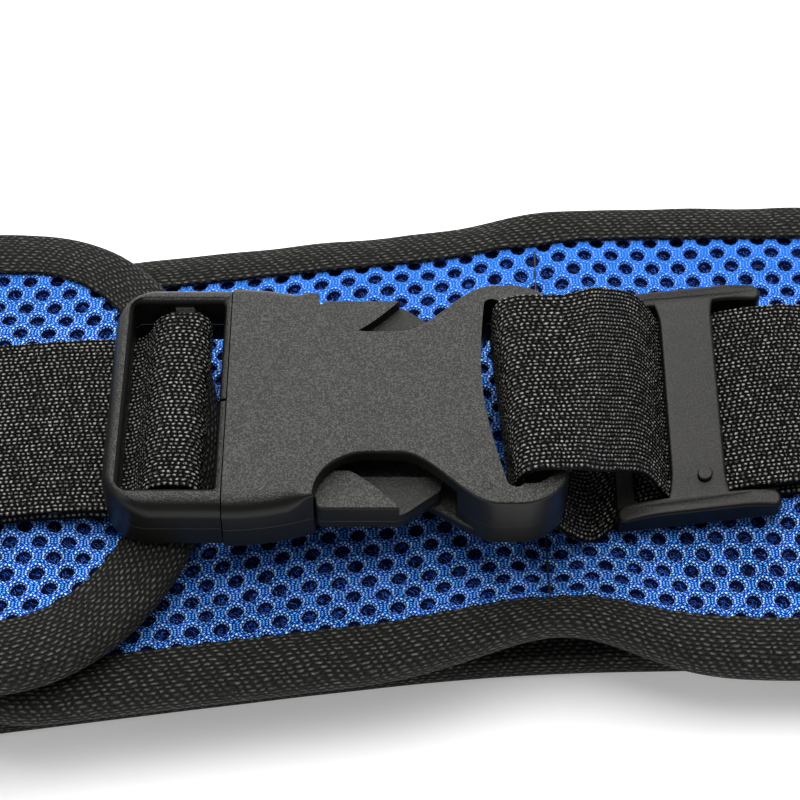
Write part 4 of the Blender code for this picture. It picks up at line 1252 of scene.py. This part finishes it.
def stitchSpots(path):
    # Middles and directions of the stitches along straight stretches, each shared out evenly
    spots, ways = [], []
    for start, end in zip(path, path[1:]):
        span = np.subtract(end, start)
        count = int(np.linalg.norm(span) / stitch["pitch"])
        share = (np.arange(count) + 0.5) / count
        spots.append(np.asarray(start) + share[:, None] * span)
        ways.append(np.tile(span / np.linalg.norm(span), (count, 1)))
    return np.concatenate(spots), np.concatenate(ways)


def makeStitches(name, path, height, stuff, body):
    # Short rounded threads: a ring of points carried along each stitch, its radius falling as a half ellipse
    spots, ways = stitchSpots(path)
    along = np.linspace(-1, 1, 7)
    radius = stitch["radius"] * np.sqrt(1 - 0.98 * along ** 2)
    turn = np.linspace(0, 2 * math.pi, 7)[:-1]
    side = np.stack([-ways[:, 1], ways[:, 0]], 1)
    flat = (spots[:, None, None] + ways[:, None, None] * along[None, :, None, None] * stitch["long"] / 2
            + side[:, None, None] * (radius[:, None] * np.cos(turn))[None, :, :, None])
    rise = (radius[:, None] * np.sin(turn))[None] + height(flat[..., 0], flat[..., 1]) - stitch["sink"]
    points = np.concatenate([flat, rise[..., None]], -1)
    rows, columns = len(along), len(turn)
    last = (rows - 1) * columns
    walls = gridFaces(rows, columns, closed=True)
    starts = np.arange(len(spots)) * rows * columns
    faces = (starts[:, None, None] + walls).reshape(-1, 4).tolist()
    faces += (starts[:, None] + np.arange(columns)).tolist()
    faces += (starts[:, None] + last + np.arange(columns)[::-1]).tolist()
    piece = plainMesh(name, points, faces)
    settle(piece)
    finishPiece(piece, stuff, [])
    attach(piece, body)


def boxPath(x0, x1, line, crossed):
    # A sewn rectangle that follows the strap's line, with both diagonals where it is crossed
    half = web["half"] - stitch["inset"]
    a, b = (x0, line(x0) - half), (x1, line(x1) - half)
    c, d = (x1, line(x1) + half), (x0, line(x0) + half)
    return [a, b, c, d, a, c] if crossed else [a, b, c, d, a]


def makeSewing():
    # The quilting seam's thread, a crossed box on the left strap's end and a plain box on the right one's
    makeSeam(threadStuff("navyThread", (0.003, 0.005, 0.025)))
    black = threadStuff("blackThread", (0.060, 0.058, 0.054))
    leftFace = leftTop + 2 * belt["gap"] + 2 * web["thick"]
    first = strapWay["leftSewnX"] + stitch["inset"]
    path = boxPath(first, first + stitch["leftLong"], leftLine, True)
    makeStitches("left_stitches", path, lambda x, y: leftFace + 0 * x, black, "plug_end")
    rightFace = sewnZ + web["thick"] / 2
    last = strapWay["sewnX"] - stitch["inset"]
    path = boxPath(last - stitch["rightLong"], last, strapLine, False)
    makeStitches("right_stitches", path, lambda x, y: rightFace + strapTilt(x, y), black, "belt")


makeSewing()
print("sewing: seam thread and strap stitches")
